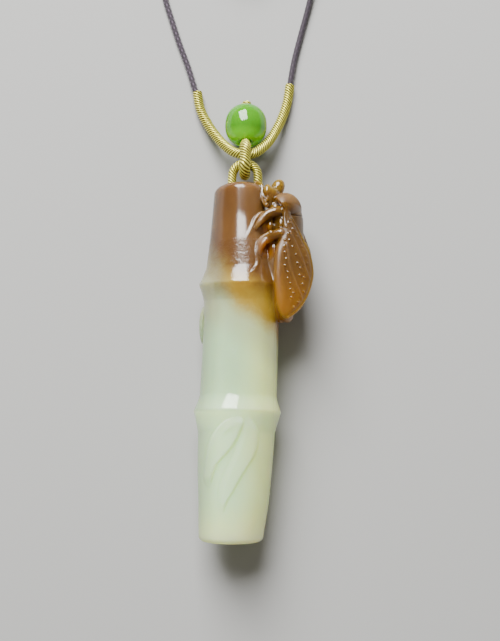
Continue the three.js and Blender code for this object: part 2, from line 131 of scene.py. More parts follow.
FLOOR_HALF = 0.9
corners = [(x * FLOOR_HALF, y * FLOOR_HALF, 0) for x, y in ((-1, -1), (1, -1), (1, 1), (-1, 1))]
floor_mesh = bpy.data.meshes.new("floor")
floor_mesh.from_pydata(corners, [], [(0, 1, 2, 3)])
floor_mesh.materials.append(plain_surface("pale_floor", (0.42, 0.42, 0.41), 0.9))
floor = add_object("floor", floor_mesh)


def window(name, direction, distance, size, power, target):
    """A soft rectangle of light that faces the target, which is in millimetres."""
    light = bpy.data.lights.new(name, "AREA")
    light.shape = "RECTANGLE"
    light.size, light.size_y = size
    light.energy = power
    made = add_object(name, light)
    towards = Vector(direction).normalized()
    made.location = Vector(target) * MM + towards * distance
    made.rotation_euler = towards.to_track_quat("Z", "Y").to_euler()
    return made


window("key_window", (-0.215, 0.725, 0.69), 0.60, size=(0.35, 0.465), power=12.0, target=(2, 18, 6))

world = bpy.data.worlds.new("pale_sky")
world.use_nodes = True
sky = world.node_tree.nodes["Background"]
sky.inputs["Color"].default_value = (0.93, 0.88, 0.78, 1)
sky.inputs["Strength"].default_value = 0.27
bpy.context.scene.world = world

# %% [markdown]
# ## Shader sums
# A material is a graph of nodes, but its maths reads better as sums. `Field` wraps a socket, so
# that `1 - mask * 0.5` adds the Math nodes by itself; `Finish` makes every other node from its
# type, its settings and its sockets.

# %% Shader sums
class Field:
    """A socket's value over the surface."""

    def __init__(self, finish, socket):
        self.finish = finish
        self.socket = socket

    def maths(self, operation, *values):
        sockets = dict(enumerate(values))
        return self.finish.node("ShaderNodeMath", {"operation": operation}, sockets)

    def __add__(self, other):
        return self.maths("ADD", self, other)

    def __sub__(self, other):
        return self.maths("SUBTRACT", self, other)

    def __rsub__(self, other):
        return self.maths("SUBTRACT", other, self)

    def __mul__(self, other):
        return self.maths("MULTIPLY", self, other)

    def __pow__(self, other):
        return self.maths("POWER", self, other)

    __radd__ = __add__
    __rmul__ = __mul__

    def clamped(self):
        return self.finish.node("ShaderNodeClamp", {}, {"Value": self})


print("sums ready: plus, minus, times and powers")


# %% A finish and its nodes
class Finish:
    """A procedural material, with places in millimetres."""

    def __init__(self, name):
        self.material = bpy.data.materials.new(name)
        self.material.use_nodes = True
        self.tree = self.material.node_tree
        self.shader = self.tree.nodes["Principled BSDF"]

    def node(self, kind, settings=None, sockets=None, out=0):
        made = self.tree.nodes.new(kind)
        for key, value in (settings or {}).items():
            setattr(made, key, value)
        for key, value in (sockets or {}).items():
            self.connect(made.inputs[key], value)
        return Field(self, made.outputs[out])

    def connect(self, socket, value):
        if isinstance(value, Field):
            self.tree.links.new(value.socket, socket)
        elif socket.type == "RGBA" and len(value) == 3:
            socket.default_value = (*value, 1)
        else:
            socket.default_value = value

    def place(self):
        spot = self.node("ShaderNodeTexCoord", out="Object")
        return self.node("ShaderNodeVectorMath", {"operation": "SCALE"}, {0: spot, "Scale": 1 / MM})

    def parts(self, place):
        first = self.node("ShaderNodeSeparateXYZ", {}, {0: place})
        outputs = first.socket.node.outputs
        return [Field(self, outputs[axis]) for axis in range(3)]

    def noise(self, place, size, detail=3, roughness=0.5, distortion=0.0):
        sockets = {
            "Vector": place,
            "Scale": 1 / size,
            "Detail": detail,
            "Roughness": roughness,
            "Distortion": distortion,
        }
        return self.node("ShaderNodeTexNoise", {}, sockets)

    def rise(self, value, start, end):
        """0 before start, 1 after end, and smooth between them."""
        settings = {"interpolation_type": "SMOOTHSTEP"}
        sockets = {"Value": value, "From Min": start, "From Max": end}
        return self.node("ShaderNodeMapRange", settings, sockets)

    def mix(self, share, first, second):
        return self.node("ShaderNodeMix", {"data_type": "RGBA"}, {0: share, 6: first, 7: second}, out=2)

    def layers(self, colour, *coats):
        """A colour under coats; a coat is its share and its own colour."""
        for share, coat in coats:
            colour = self.mix(share, colour, coat)
        return colour

    def attribute(self, name):
        return self.node("ShaderNodeAttribute", {"attribute_name": name}, out="Fac")

    def relief(self, height, distance):
        bump = self.node("ShaderNodeBump", {}, {"Height": height, "Distance": distance * MM, "Strength": 1.0})
        self.connect(self.shader.inputs["Normal"], bump)

    def set(self, **sockets):
        """Sets the shader's sockets; an underscore stands for a space in a socket's name."""
        for key, value in sockets.items():
            self.connect(self.shader.inputs[key.replace("_", " ")], value)
        return self.material


print("finishes ready, a millimetre is", MM, "m")

# %% [markdown]
# ## Paths and tubes
# Every cord here is a tube along a smooth path. A curve with a round bevel would be quicker, but
# its radius can't change round the tube, as a braid's and a wrapped thread's do. Catmull-Rom
# passes through all of its points, and equal steps along it keep the pitch even. A frame that
# turns as little as it can is carried along, so that the pattern doesn't twist by itself.

# %% Smooth paths
def smooth_path(points, step, closed=False):
    """Points step apart along a Catmull-Rom curve through the given ones, all in millimetres."""
    points = np.asarray(points, float)
    if closed:
        padded = np.vstack([points[-1], points, points[:2]])
    else:
        padded = np.vstack([2 * points[0] - points[1], points, 2 * points[-1] - points[-2]])
    knots = np.concatenate([[0], np.cumsum(np.linalg.norm(np.diff(padded, axis=0), axis=1) ** 0.5)])
    fine = []
    for i in range(1, len(padded) - 2):
        t0, t1, t2, t3 = knots[i - 1 : i + 3]
        p0, p1, p2, p3 = padded[i - 1 : i + 3]
        t = np.linspace(t1, t2, 24, endpoint=False)[:, None]
        a1 = (t1 - t) / (t1 - t0) * p0 + (t - t0) / (t1 - t0) * p1
        a2 = (t2 - t) / (t2 - t1) * p1 + (t - t1) / (t2 - t1) * p2
        a3 = (t3 - t) / (t3 - t2) * p2 + (t - t2) / (t3 - t2) * p3
        b1 = (t2 - t) / (t2 - t0) * a1 + (t - t0) / (t2 - t0) * a2
        b2 = (t3 - t) / (t3 - t1) * a2 + (t - t1) / (t3 - t1) * a3
        fine.append((t2 - t) / (t2 - t1) * b1 + (t - t1) / (t2 - t1) * b2)
    fine = np.vstack([*fine, padded[-2]])
    along = np.concatenate([[0], np.cumsum(np.linalg.norm(np.diff(fine, axis=0), axis=1))])
    count = max(int(round(along[-1] / step)), 3)
    places = np.linspace(0, along[-1], count + 1)
    even = np.stack([np.interp(places, along, fine[:, k]) for k in range(3)], axis=1)
    return (even[:-1] if closed else even), along[-1]


circle = [(math.cos(a), math.sin(a), 0) for a in np.arange(12) * math.pi / 6]
circle, around_it = smooth_path(circle, 0.1, closed=True)
print("a ring of 1 mm radius measures", round(around_it, 2), "mm round")


# %% Frames along a path
def carried_frames(path, closed=False, first=(0, 0, 1)):
    """Two directions across the path at each point, turned as little as possible."""
    if closed:
        tangents = np.roll(path, -1, axis=0) - np.roll(path, 1, axis=0)
    else:
        tangents = np.gradient(path, axis=0)
    tangents /= np.linalg.norm(tangents, axis=1)[:, None]
    side = np.cross(tangents[0], first)
    sides = []
    for tangent in tangents:
        side = side - tangent * side.dot(tangent)
        side = side / np.linalg.norm(side)
        sides.append(side)
    sides = np.array(sides)
    ups = np.cross(sides, tangents)
    if closed:
        last = sides[-1] - tangents[0] * sides[-1].dot(tangents[0])
        slip = math.atan2(last.dot(ups[0]), last.dot(sides[0]))
        turn = -slip * np.arange(len(path))[:, None] / len(path)
        straight, sideways = np.cos(turn), np.sin(turn)
        sides, ups = sides * straight + ups * sideways, ups * straight - sides * sideways
    return sides, ups


outwards, upwards = carried_frames(circle, closed=True)
print("the frames stay square:", bool(np.abs((outwards * upwards).sum(axis=1)).max() < 1e-6))


# %% Meshes
def smoothed(mesh):
    mesh.polygons.foreach_set("use_smooth", [True] * len(mesh.polygons))


def store(mesh, name, values):
    """Keeps a value with each point, for the material to read."""
    layer = mesh.attributes.new(name, "FLOAT", "POINT")
    layer.data.foreach_set("value", np.asarray(values, np.float32).ravel())


def make_mesh(name, points, faces):
    """A smooth mesh object from points in millimetres."""
    mesh = bpy.data.meshes.new(name)
    mesh.from_pydata((np.asarray(points) * MM).tolist(), [], faces)
    mesh.update()
    smoothed(mesh)
    return add_object(name, mesh)


def ring_faces(rings, sides, closed):
    """Four-sided faces between rings that have a point on each side."""
    faces = []
    for i in range(rings if closed else rings - 1):
        a, b = i * sides, (i + 1) % rings * sides
        for k in range(sides):
            n = (k + 1) % sides
            faces.append((a + k, a + n, b + n, b + k))
    return faces


print("mesh helpers ready, a ring of 3 has", len(ring_faces(3, 4, True)), "faces")

# %% Tubes
# The share of the crown that a tube keeps where it faces down, which paints its underside darker, as shade.
CROWN_IN_PAINTED_SHADE = 0.6


def tube(name, path, radius_at, sides, closed=False, first=(0, 0, 1)):
    """A tube along a path; radius_at(ring, turn) gives its radius and its crown.

    The crown is kept with each point, and counts less where the surface doesn't face up: painted light on the
    tube's top and painted shade underneath.
    """
    across, up = carried_frames(path, closed, first)
    turn = np.arange(sides)[None, :] / sides
    radius, crown = radius_at(np.arange(len(path))[:, None], turn)
    angle = 2 * np.pi * turn[..., None]
    directions = across[:, None] * np.cos(angle) + up[:, None] * np.sin(angle)
    # Painted light and shade: the crown is cut down where the surface faces down, so each tube's top is
    # painted lighter than its underside.
    crown = crown * (CROWN_IN_PAINTED_SHADE + (1 - CROWN_IN_PAINTED_SHADE) * np.clip(directions[..., 2], 0, 1))
    points = (path[:, None] + directions * radius[..., None]).reshape(-1, 3)
    crowns = np.broadcast_to(crown, radius.shape).ravel()
    faces = ring_faces(len(path), sides, closed)
    if not closed:
        first_end, last_end, last = len(points), len(points) + 1, len(points) - sides
        points = np.vstack([points, path[0], path[-1]])
        crowns = np.concatenate([crowns, [0, 0]])
        for k in range(sides):
            n = (k + 1) % sides
            faces.append((first_end, n, k))
            faces.append((last_end, last + k, last + n))
    made = make_mesh(name, points, faces)
    store(made.data, "crown", crowns)
    return made


print("tubes ready, crown below", CROWN_IN_PAINTED_SHADE)

# %% [markdown]
# ## The neck cord
# A thin braided cord leaves both ends of the wrapped sleeve and goes round the wearer's neck, so
# about 60 cm of it. Only its first stretch is seen; the rest is put away in a tied coil, four
# turns wide and four high. A simulation could drop it there, but its turns would cut into each
# other. So the route is one list of points: out along the surface, round and round, and back.

# %% Cord route
TOP_FACE = 38.6
CORD_DIAMETER = 1.15
CORD_REST = CORD_DIAMETER / 2 + 0.02
SLEEVE_REST = 0.91
COIL_CENTRE = np.array([-1.2, TOP_FACE + 53])
COIL_MEAN = 6.2
COIL_LAYERS = 4
COIL_TURNS = 13
COIL_BOTTOM = 0.525
OUTER = COIL_MEAN + 1.5 * CORD_DIAMETER
INNER = COIL_MEAN - 1.5 * CORD_DIAMETER
ENTRY_TURN = 150
LEAVING_TURN = 30

left_points = [
    (-7.75, 18.45, SLEEVE_REST),
    (-8.35, 19.4, SLEEVE_REST),
    (-9.05, 21.5, SLEEVE_REST - 0.1),
    (-9.85, 24.0, CORD_REST + 0.05),
    (-11.7, 28.85, CORD_REST),
    (-13.1, 33.0, CORD_REST),
    (-14.35, 36.9, CORD_REST),
    (-15.0, 40.6, CORD_REST),
    (-14.4, 44.8, CORD_REST),
    (-12.75, 49.0, CORD_REST),
    (-10.9, 52.2, CORD_REST + 0.1),
]
right_points = [
    (8.9, 51.9, CORD_REST + 3.5),
    (10.7, 48.9, CORD_REST + 2.8),
    (12.25, 45.0, CORD_REST + 1.5),
    (12.8, 41.2, CORD_REST + 0.6),
    (12.3, 37.4, CORD_REST + 0.2),
    (11.6, 34.3, CORD_REST + 0.05),
    (10.75, 30.9, CORD_REST),
    (9.55, 25.8, CORD_REST + 0.05),
    (9.15, 23.5, SLEEVE_REST - 0.1),
    (8.85, 21.4, SLEEVE_REST),
    (8.72, 20.45, SLEEVE_REST),
]
print("the seen stretches have", len(left_points), "and", len(right_points), "points")


# %% Coil
def coil_points(steps=20):
    """Spirals in and out, one layer on the other, clockwise from above."""
    half = 0.5
    whole = COIL_TURNS + (ENTRY_TURN - LEAVING_TURN) / 360
    spiral = (whole - half * (COIL_LAYERS - 1)) / COIL_LAYERS
    turned, radii, heights = [], [], []
    start = 0.0
    for layer in range(COIL_LAYERS):
        ends = (OUTER, INNER) if layer % 2 == 0 else (INNER, OUTER)
        height = COIL_BOTTOM + (layer + 0.5) * CORD_DIAMETER
        for share in np.linspace(0, 1, int(spiral * steps) + 1):
            turned.append(start + share * spiral)
            radii.append(ends[0] + (ends[1] - ends[0]) * share)
            heights.append(height)
        start += spiral
        if layer < COIL_LAYERS - 1:
            for share in (0.25, 0.5, 0.75):
                turned.append(start + share * half)
                radii.append(ends[1])
                heights.append(height + CORD_DIAMETER * (3 * share**2 - 2 * share**3))
            start += half
    angle = np.radians(ENTRY_TURN) - 2 * np.pi * np.array(turned)
    x = COIL_CENTRE[0] + np.array(radii) * np.cos(angle)
    y = COIL_CENTRE[1] + np.array(radii) * np.sin(angle)
    return np.stack([x, y, heights], axis=1)


top = np.array([0, TOP_FACE, 0])
route = np.vstack([np.array(left_points) + top, coil_points(), np.array(right_points) + top])
BRAID_STEP = 0.22
cord_path, cord_length = smooth_path(route, BRAID_STEP)
print("cord", round(cord_length), "mm long, lowest", round(cord_path[:, 2].min(), 3), "mm")

# %% [markdown]
# ## Braid
# Fine strands cross over and under each other. On a cord as thin as this the eye sees small
# slanted lozenges. Modelling each strand would cost many faces for that, so the tube's radius
# rises and falls where two sets of slanted waves meet, and the same waves tell the material
# which parts stand up to the light.

# %% Braided cord
STRANDS = 4
BRAID_PITCH = 2.3
BRAID_DEPTH = 0.1


def braid_radius(ring, turn):
    along = ring * cord_length / (len(cord_path) - 1) / BRAID_PITCH
    one = np.cos(2 * np.pi * (STRANDS * turn + along * STRANDS / 2))
    other = np.cos(2 * np.pi * (STRANDS * turn - along * STRANDS / 2))
    crown = np.clip(0.5 + 0.25 * (one + other) + 0.25 * one * other, 0, 1)
    return CORD_DIAMETER / 2 - BRAID_DEPTH * (1 - crown), crown


neck_cord = tube("neck_cord", cord_path, braid_radius, 16)
print("braid", len(neck_cord.data.polygons), "faces")

# %% [markdown]
# ## The cord's dye, with painted light and shade
# The real cord is dyed a dark purple. Between the strands and on its underside it is painted nearly
# black, as shade; where the strands stand up, and on top, it is a dusty lilac, partly the fibres' own
# tone and partly painted light. Towards the right the whole cord is painted darker, as shade. One
# colour all over would look like wire. The braid's crown and a fine noise choose between the two,
# and a little sheen gives the cord its soft edge.

# %% Cord material
dye = Finish("aubergine_braid")
spot = dye.place()
crown = dye.attribute("crown")
fibres = dye.noise(spot, 0.12, detail=4, roughness=0.7)
patches = dye.noise(spot, 1.4, detail=2)
dark = dye.mix(patches, (0.010, 0.005, 0.011), (0.024, 0.011, 0.024))
lilac = dye.mix(fibres, (0.05, 0.03, 0.055), (0.17, 0.12, 0.18))
# Painted light and shade: the crown and the fibres give the raised strands and the top the lilac and the gaps
# and the underside the near-black, and from x = 2 mm to 12 mm the cord is painted darker towards the right,
# as shade.
lit = dye.rise(crown * 0.7 + fibres * 0.5, 0.5, 0.92)
shaded = dye.rise(dye.parts(spot)[0], 2, 12) * 0.8
lit = lit * (1 - shaded)
dye.relief(fibres, 0.03)
neck_cord.data.materials.append(dye.set(
    Base_Color=dye.mix(lit, dark, lilac),
    Roughness=0.62 + 0.2 * fibres,
    Sheen_Weight=0.25,
    Sheen_Roughness=0.5,
))
print("cord material", dye.material.name)

# %% [markdown]
# ## Silk-wrapped threads
# The ring, the link and the sleeve are soft cores wrapped tightly with fine silk, turn beside
# turn. Each turn is a small round ridge that runs round the core as a screw's thread does. A
# separate tube for each thread would be heavy, so the core's own radius is a row of small waves
# along the path, shifted by the angle.

# %% Wrapped thread
WRAP_PITCH = 0.47
THREADS = 6
RINGS_PER_THREAD = 8
THREAD_DEPTH = 0.3 * WRAP_PITCH
THREAD_SLACK = 0.012
random = np.random.default_rng(7)


def wrapped(name, points, diameter, sides, size_at=np.ones_like, threads=THREADS, **ends):
    """A core wrapped with silk. size_at gives its share of the full diameter along the path."""
    path, length = smooth_path(points, WRAP_PITCH / RINGS_PER_THREAD, ends.get("closed", False))
    turns = max(int(round(length / WRAP_PITCH)), 1)
    uneven = random.normal(0, 1, turns + 2)

    def radius_at(ring, turn):
        place = ring * turns / len(path) + (1 - turn) * threads
        crown = 0.5 - 0.5 * np.cos(2 * np.pi * place)
        slack = THREAD_SLACK * uneven[place.astype(int) % turns]
        size = size_at(ring / (len(path) - 1))
        return size * diameter / 2 - THREAD_DEPTH * (1 - crown) + slack, crown

    made = tube(name, path, radius_at, sides, **ends)
    print(name, round(length, 1), "mm,", turns, "turns of silk,", len(made.data.polygons), "faces")
    return made


print("a turn of silk is", WRAP_PITCH, "mm wide and", round(THREAD_DEPTH, 3), "mm high")

# %% [markdown]
# ## Silk's colour, with painted sheen and shade
# Silk shines, and each turn has a bright crown beside a dark groove. Both are painted: a painted
# sheen on each crown and on the tube's top, and painted shade in each groove and underneath. A
# picture of threads would need its own map; the crown that a tube keeps with its points says the
# same, and a partly metallic surface colours the shine as silk does.

# %% Silk material
silk = Finish("olive_silk")
spot = silk.place()
crown = silk.attribute("crown")
fibres = silk.noise(spot, 0.09, roughness=0.7)
patches = silk.noise(spot, 1.8, detail=2)
# Painted shade and sheen: the deep colour fills the grooves and the underside, the bright one the crowns and
# the top.
deep = silk.mix(patches, (0.09, 0.065, 0.006), (0.15, 0.11, 0.010))
bright = silk.mix(patches, (0.92, 0.86, 0.12), (1.0, 0.97, 0.18))
lit = silk.rise(crown * 0.85 + fibres * 0.4, 0.3, 0.98)
silk.relief(fibres, 0.02)
silk_material = silk.set(
    Base_Color=silk.mix(lit, deep, bright),
    Metallic=0.6,
    Roughness=0.25 + 0.15 * fibres,
)
print("silk material", silk_material.name)

# %% [markdown]
# ## Ring, link and sleeve
# The ring passes through the stone's top end. The link, a longer loop, holds the ring and the
# sleeve together, and its thin neck runs through the bead to a small knob. The sleeve is the
# middle of the neck cord, wrapped where it bends. A ring could be a torus, but as a path it is
# wrapped by the same function as the others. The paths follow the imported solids.

# %% Ring, link and sleeve
AXIS = 6.9
RING_SIDE, RING_RADIUS, RING_ARCH, RING_DEPTH = 1.0, 2.2, 4.2, 3.7
RING_THREAD = 1.5
SILK_OVER = 0.05
SMOOTH_SIDES = 64


def ring_arc(y, start):
    turns = np.radians(np.linspace(start, start + 180, 9))
    return [(RING_SIDE + RING_RADIUS * math.cos(a), y + RING_RADIUS * math.sin(a), AXIS) for a in turns]


ring_points = ring_arc(TOP_FACE + RING_ARCH - RING_RADIUS, 0)
ring_points += ring_arc(TOP_FACE - RING_DEPTH + RING_RADIUS, 180)
pendant_ring = wrapped("silk_ring", ring_points, RING_THREAD + SILK_OVER, SMOOTH_SIDES, closed=True)

# %% Directions of link and bead
BEAD_RADIUS, BEAD_LENGTH = 3.72, 6.9
BEAD_LIFT = 0.12


def packed_box(node):
    """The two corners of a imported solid's box, in millimetres."""
    return [np.array(corner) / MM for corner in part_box(node)]


def tilted(degrees):
    """Towards the stone along a line that rises by so many degrees, and upwards across it."""
    angle = math.radians(degrees)
    along = np.array([0, -math.cos(angle), math.sin(angle)])
    return along, np.array([0, math.sin(angle), math.cos(angle)])


BEAD_CENTRE = sum(packed_box("jade_bead")) / 2 + np.array([0, 0, BEAD_LIFT])
LINK_ALONG, LINK_UP = tilted(22)
BEAD_ALONG, BEAD_UP = tilted(13)
print("bead centre", BEAD_CENTRE.round(2), "mm")


def on_link(along, up=0.0):
    return BEAD_CENTRE + LINK_ALONG * along + LINK_UP * up


def in_bead(along, up=0.0):
    return BEAD_CENTRE + BEAD_ALONG * along + BEAD_UP * up


# %% Link
MOUTH = BEAD_LENGTH / 2
LINK_THREAD, SLEEVE_THREAD = 1.9, 1.8
SLEEVE_ALONG = MOUTH + 3.0
RING_GAP, SLEEVE_GAP = 0.2, 0.1
arch = np.array([RING_SIDE, TOP_FACE + RING_ARCH, AXIS]) - BEAD_CENTRE
arch_along, arch_up = arch.dot(LINK_ALONG), arch.dot(LINK_UP)
round_ring = RING_THREAD / 2 + RING_GAP + LINK_THREAD / 2
round_sleeve = SLEEVE_THREAD / 2 + SLEEVE_GAP + LINK_THREAD / 2


def link_side(way):
    """One side of the loop, from the bead's mouth round the sleeve to the ring."""
    return [
        in_bead(MOUTH - 0.6, way * 0.25),
        (in_bead(MOUTH + 0.9, way * 0.7) + on_link(MOUTH + 0.9, way * 0.7)) / 2,
        on_link(SLEEVE_ALONG, way * round_sleeve),
        on_link(arch_along, arch_up + way * round_ring),
        on_link(arch_along + round_ring * 0.72, arch_up + way * round_ring * 0.72),
    ]


def link_size(share):
    """Full over most of the loop, thinner towards both ends, which lie in the bead."""
    return 0.68 + 0.32 * np.clip(np.minimum(share, 1 - share) / 0.2, 0, 1) ** 0.8


link_points = [*link_side(1), on_link(arch_along + round_ring, arch_up), *link_side(-1)[::-1]]
bead_link = wrapped("silk_link", link_points, LINK_THREAD, SMOOTH_SIDES, link_size, first=(1, 0, 0))

# %% Sleeve
def beside_bead(degrees, gap, lift):
    """A point round the bead, so far from it and so high over the sleeve's rest."""
    far = BEAD_RADIUS + SLEEVE_THREAD / 2 + gap
    turn = math.radians(degrees)
    x, y, _ = BEAD_CENTRE
    return (x + far * math.cos(turn), y + far * math.sin(turn), SLEEVE_REST + lift)


# Degrees round the bead, the gap to it and the height over the sleeve's rest.
left_arm = [
    (142, 6.8, 0),
    (154.5, 4.7, 0.15),
    (170.5, 2.6, 0.8),
    (196, 1.05, 1.9),
    (229, 0.75, 3.4),
    (253, 1.25, 4.7),
]
right_arm = [
    (285, 1.15, 4.7),
    (315, 0.45, 3.4),
    (351, 0.6, 1.9),
    (19.5, 2.2, 0.8),
    (36.5, 4.5, 0.2),
    (48, 7.05, 0),
]
sleeve_points = [beside_bead(*p) for p in left_arm]
sleeve_points += [on_link(SLEEVE_ALONG), *(beside_bead(*p) for p in right_arm)]
neck_sleeve = wrapped("silk_sleeve", sleeve_points, SLEEVE_THREAD - 0.02, SMOOTH_SIDES)
for piece in (pendant_ring, bead_link, neck_sleeve):
    piece.data.materials.append(silk_material)

# %% [markdown]
# ## Coil tie
# The photograph doesn't show the cord's coil, so what holds it is made up: a few turns of the
# same silk, one thread wound side by side round the coil's section. A plain band would be
# quicker, but would look like metal.

# %% Coil tie
TIE_TURNS = 5
TIE_THREAD = 0.36
TIE_WIDTH = 1.4
TIE_GAP = 0.45
TIE_CORNER = 0.5
TIE_LOW = 0.3
TIE_HIGH = COIL_BOTTOM + COIL_LAYERS * CORD_DIAMETER + TIE_GAP


def tie_section():
    """A rectangle with round corners round the coil's section."""
    half = 2 * CORD_DIAMETER + TIE_GAP - TIE_CORNER
    high, low = TIE_HIGH - TIE_CORNER, TIE_LOW + TIE_CORNER
    section = []
    for x, y, start in ((half, high, 0), (-half, high, 90), (-half, low, 180), (half, low, 270)):
        for turn in (0, 45, 90):
            angle = math.radians(start + turn)
            section.append((x + TIE_CORNER * math.cos(angle), y + TIE_CORNER * math.sin(angle)))
    return section


def tie_points():
    section = tie_section()
    steps = TIE_TURNS * len(section)
    made = []
    for i in range(steps + 1):
        across, height = section[i % len(section)]
        slide = (i / steps - 0.5) * TIE_WIDTH
        made.append((COIL_CENTRE[0] + slide, COIL_CENTRE[1] - COIL_MEAN + across, height))
    return made


coil_tie = wrapped("silk_tie", tie_points(), TIE_THREAD, 8, threads=1, first=(1, 0, 0))
coil_tie.data.materials.append(silk_material)

# %% [markdown]
# ## Bead
# The bead is turned like a barrel, bored through and slightly dished at its mouths. Spinning one
# profile is the plainest way to a true round, and a fine profile keeps its highlight clean.

# %% Bead
BORE = 0.9
BEAD_SIDES = 96
MOUTH_SHARE = 0.93
BARREL = 2.3


def barrel_radius(share):
    return BEAD_RADIUS * (1 - abs(share) ** BARREL) ** (1 / BARREL)


def bead_profile(steps=40):
    """The bead's section as a loop of (radius, along) points."""
    shares = np.sin(np.linspace(-np.pi / 2, np.pi / 2, steps)) * MOUTH_SHARE
    outside = [(barrel_radius(share), MOUTH * share / MOUTH_SHARE) for share in shares]
    mouth_radius = outside[-1][0]
    dish = [
        (mouth_radius - 0.15, MOUTH + 0.01),
        (mouth_radius - 0.4, MOUTH - 0.02),
        (BORE + 0.2, MOUTH - 0.1),
        (BORE + 0.05, MOUTH - 0.25),
        (BORE, MOUTH - 0.5),
    ]
    bore = [(BORE, along) for along in np.linspace(MOUTH - 1.2, -MOUTH + 1.2, 8)]
    return outside + dish + bore + [(radius, -along) for radius, along in reversed(dish)]


def spun(name, profile, sides):
    """A closed solid of revolution round the bead's bore."""
    points = []
    for angle in np.arange(sides) / sides * 2 * np.pi:
        across = np.array([math.cos(angle), 0, 0]) + BEAD_UP * math.sin(angle)
        points += [BEAD_CENTRE + across * radius - BEAD_ALONG * along for radius, along in profile]
    return make_mesh(name, points, ring_faces(sides, len(profile), closed=True))


jade_bead = spun("green_bead", bead_profile(), BEAD_SIDES)
print("bead", len(jade_bead.data.polygons), "faces")

# %% [markdown]
# ## Bead's green
# The bead is greener and clearer than the carving. In the photograph light gathers in it on the
# stone's side, away from the window. Light inside a stone is lost in an exported model, so that
# glow is painted as well, over soft clouds and specks.

# %% Bead material
green = Finish("green_jade")
spot = green.place()
clouds = green.noise(spot, 2.6, detail=4, roughness=0.6, distortion=0.4)
specks = green.noise(spot, 0.5, roughness=0.7)
stone_side = green.rise(green.parts(spot)[1], BEAD_CENTRE[1] - 0.8, BEAD_CENTRE[1] - 3.0)
bead_colour = green.layers(
    green.mix(clouds, (0.045, 0.22, 0.004), (0.10, 0.38, 0.008)),
    (green.rise(specks, 0.62, 0.8) * 0.35, (0.20, 0.50, 0.05)),
    (stone_side * 0.9, (0.30, 0.95, 0.004)),
)
jade_bead.data.materials.append(green.set(
    Base_Color=bead_colour,
    Roughness=0.04 + 0.03 * specks,
    Subsurface_Weight=0.75,
    Subsurface_Radius=(0.8, 1.6, 0.3),
    Subsurface_Scale=0.0015,
    IOR=1.61,
))
print("bead material", green.material.name)

# %% [markdown]
# ## Knob above the bead
# The link's thin neck goes on through the bore and ends in a small wound knob, which keeps the
# bead in its place. Both are more wrapped thread; the knob is a short, thick length of it whose
# size falls away to both ends, so that it comes out round.

# %% Neck and knob
NECK_THREAD, KNOB_THREAD = 1.4, 1.85


def knob_size(share):
    """Full in the middle, falling away to both ends."""
    return np.sqrt(np.clip(1 - (2 * share - 1) ** 4, 0.02, 1))


neck_path = [in_bead(MOUTH - 0.2), in_bead(0), in_bead(-MOUTH - 0.1)]
knob_path = [in_bead(-MOUTH + 0.3), in_bead(-MOUTH - 0.8), in_bead(-MOUTH - 1.5)]
link_neck = wrapped("silk_neck", neck_path, NECK_THREAD, 48, first=(1, 0, 0))
link_knob = wrapped("silk_knob", knob_path, KNOB_THREAD, SMOOTH_SIDES, knob_size, first=(1, 0, 0))
for piece in (link_neck, link_knob):
    piece.data.materials.append(silk_material)

# %% [markdown]
# ## The stone
# Carved jade has no hard joints: the legs melt into the stem and the leaves rise out of it.
# Boolean modifiers would leave a sharp seam at each of them. Such a form is easier to describe
# as a distance: a grid holds, for each point, how far it is from the surface, two shapes join
# with a small fillet where their distances are near each other, and the mesh is drawn where the
# distance is zero. Everything is in millimetres.

# %% Grid
GRAIN = 0.105
AIR = 0.7
stone_low, stone_high = packed_box("jade_carving")
GRID_LOW = stone_low - AIR
COUNTS = np.ceil((stone_high + AIR - GRID_LOW) / GRAIN).astype(int) + 1
print("grid", COUNTS, "points")


def block(low, high):
    """Part of the grid between two corners: its slices, and its x, y and z."""
    first = np.clip(np.floor((np.asarray(low) - GRID_LOW) / GRAIN).astype(int), 0, COUNTS - 2)
    last = np.clip(np.ceil((np.asarray(high) - GRID_LOW) / GRAIN).astype(int) + 1, 2, COUNTS)
    cut = tuple(slice(a, b) for a, b in zip(first, last))
    x, y, z = (GRID_LOW[k] + GRAIN * np.arange(first[k], last[k]) for k in range(3))
    return cut, x[:, None, None], y[None, :, None], z[None, None, :]


# %% Joining and cutting
def joined(a, b, fillet):
    """Both shapes, with a fillet where they meet."""
    near = np.maximum(fillet - np.abs(a - b), 0) / fillet
    return np.minimum(a, b) - near * near * fillet / 4


def rounded_cut(a, b, radius):
    """What lies in both shapes, with its edge rounded."""
    outside = np.hypot(np.maximum(a + radius, 0), np.maximum(b + radius, 0))
    return np.minimum(np.maximum(a, b), -radius) + outside


def rise(value, start, end):
    """0 before start, 1 after end, and smooth between them."""
    part = np.clip((value - start) / (end - start), 0, 1)
    return part * part * (3 - 2 * part)


def turned(across, up, angle):
    """The same two lengths, measured along directions turned by an angle."""
    cos, sin = math.cos(angle), math.sin(angle)
    return across * cos + up * sin, up * cos - across * sin


def from_path(place, path, sizes=(0, 0)):
    """Distance of places to a path of short straight pieces, as thick as sizes along it."""
    sizes = np.interp(np.linspace(0, 1, len(path)), np.linspace(0, 1, len(sizes)), sizes)
    best = 99.0
    for a, b, size, next_size in zip(path[:-1], path[1:], sizes[:-1], sizes[1:]):
        along = b - a
        share = sum((p - q) * d for p, q, d in zip(place, a, along)) / max(along.dot(along), 1e-9)
        share = np.clip(share, 0, 1)
        gap = np.sqrt(sum((p - q - share * d) ** 2 for p, q, d in zip(place, a, along)))
        best = np.minimum(best, gap - size - share * (next_size - size))
    return best


print("a fillet of 1 mm fills", round(-float(joined(0.0, 0.0, 1.0)), 2), "mm of a corner")

# %% [markdown]
# ## Bamboo stem
# Three segments meet in ridges; the lowest swells a little and the others are waisted. The stem
# bows towards the cicada. It could be turned like the bead, but it is neither straight nor
# round, so its radius is a sum: a straight taper, a swell and the ridge of the nearest node.

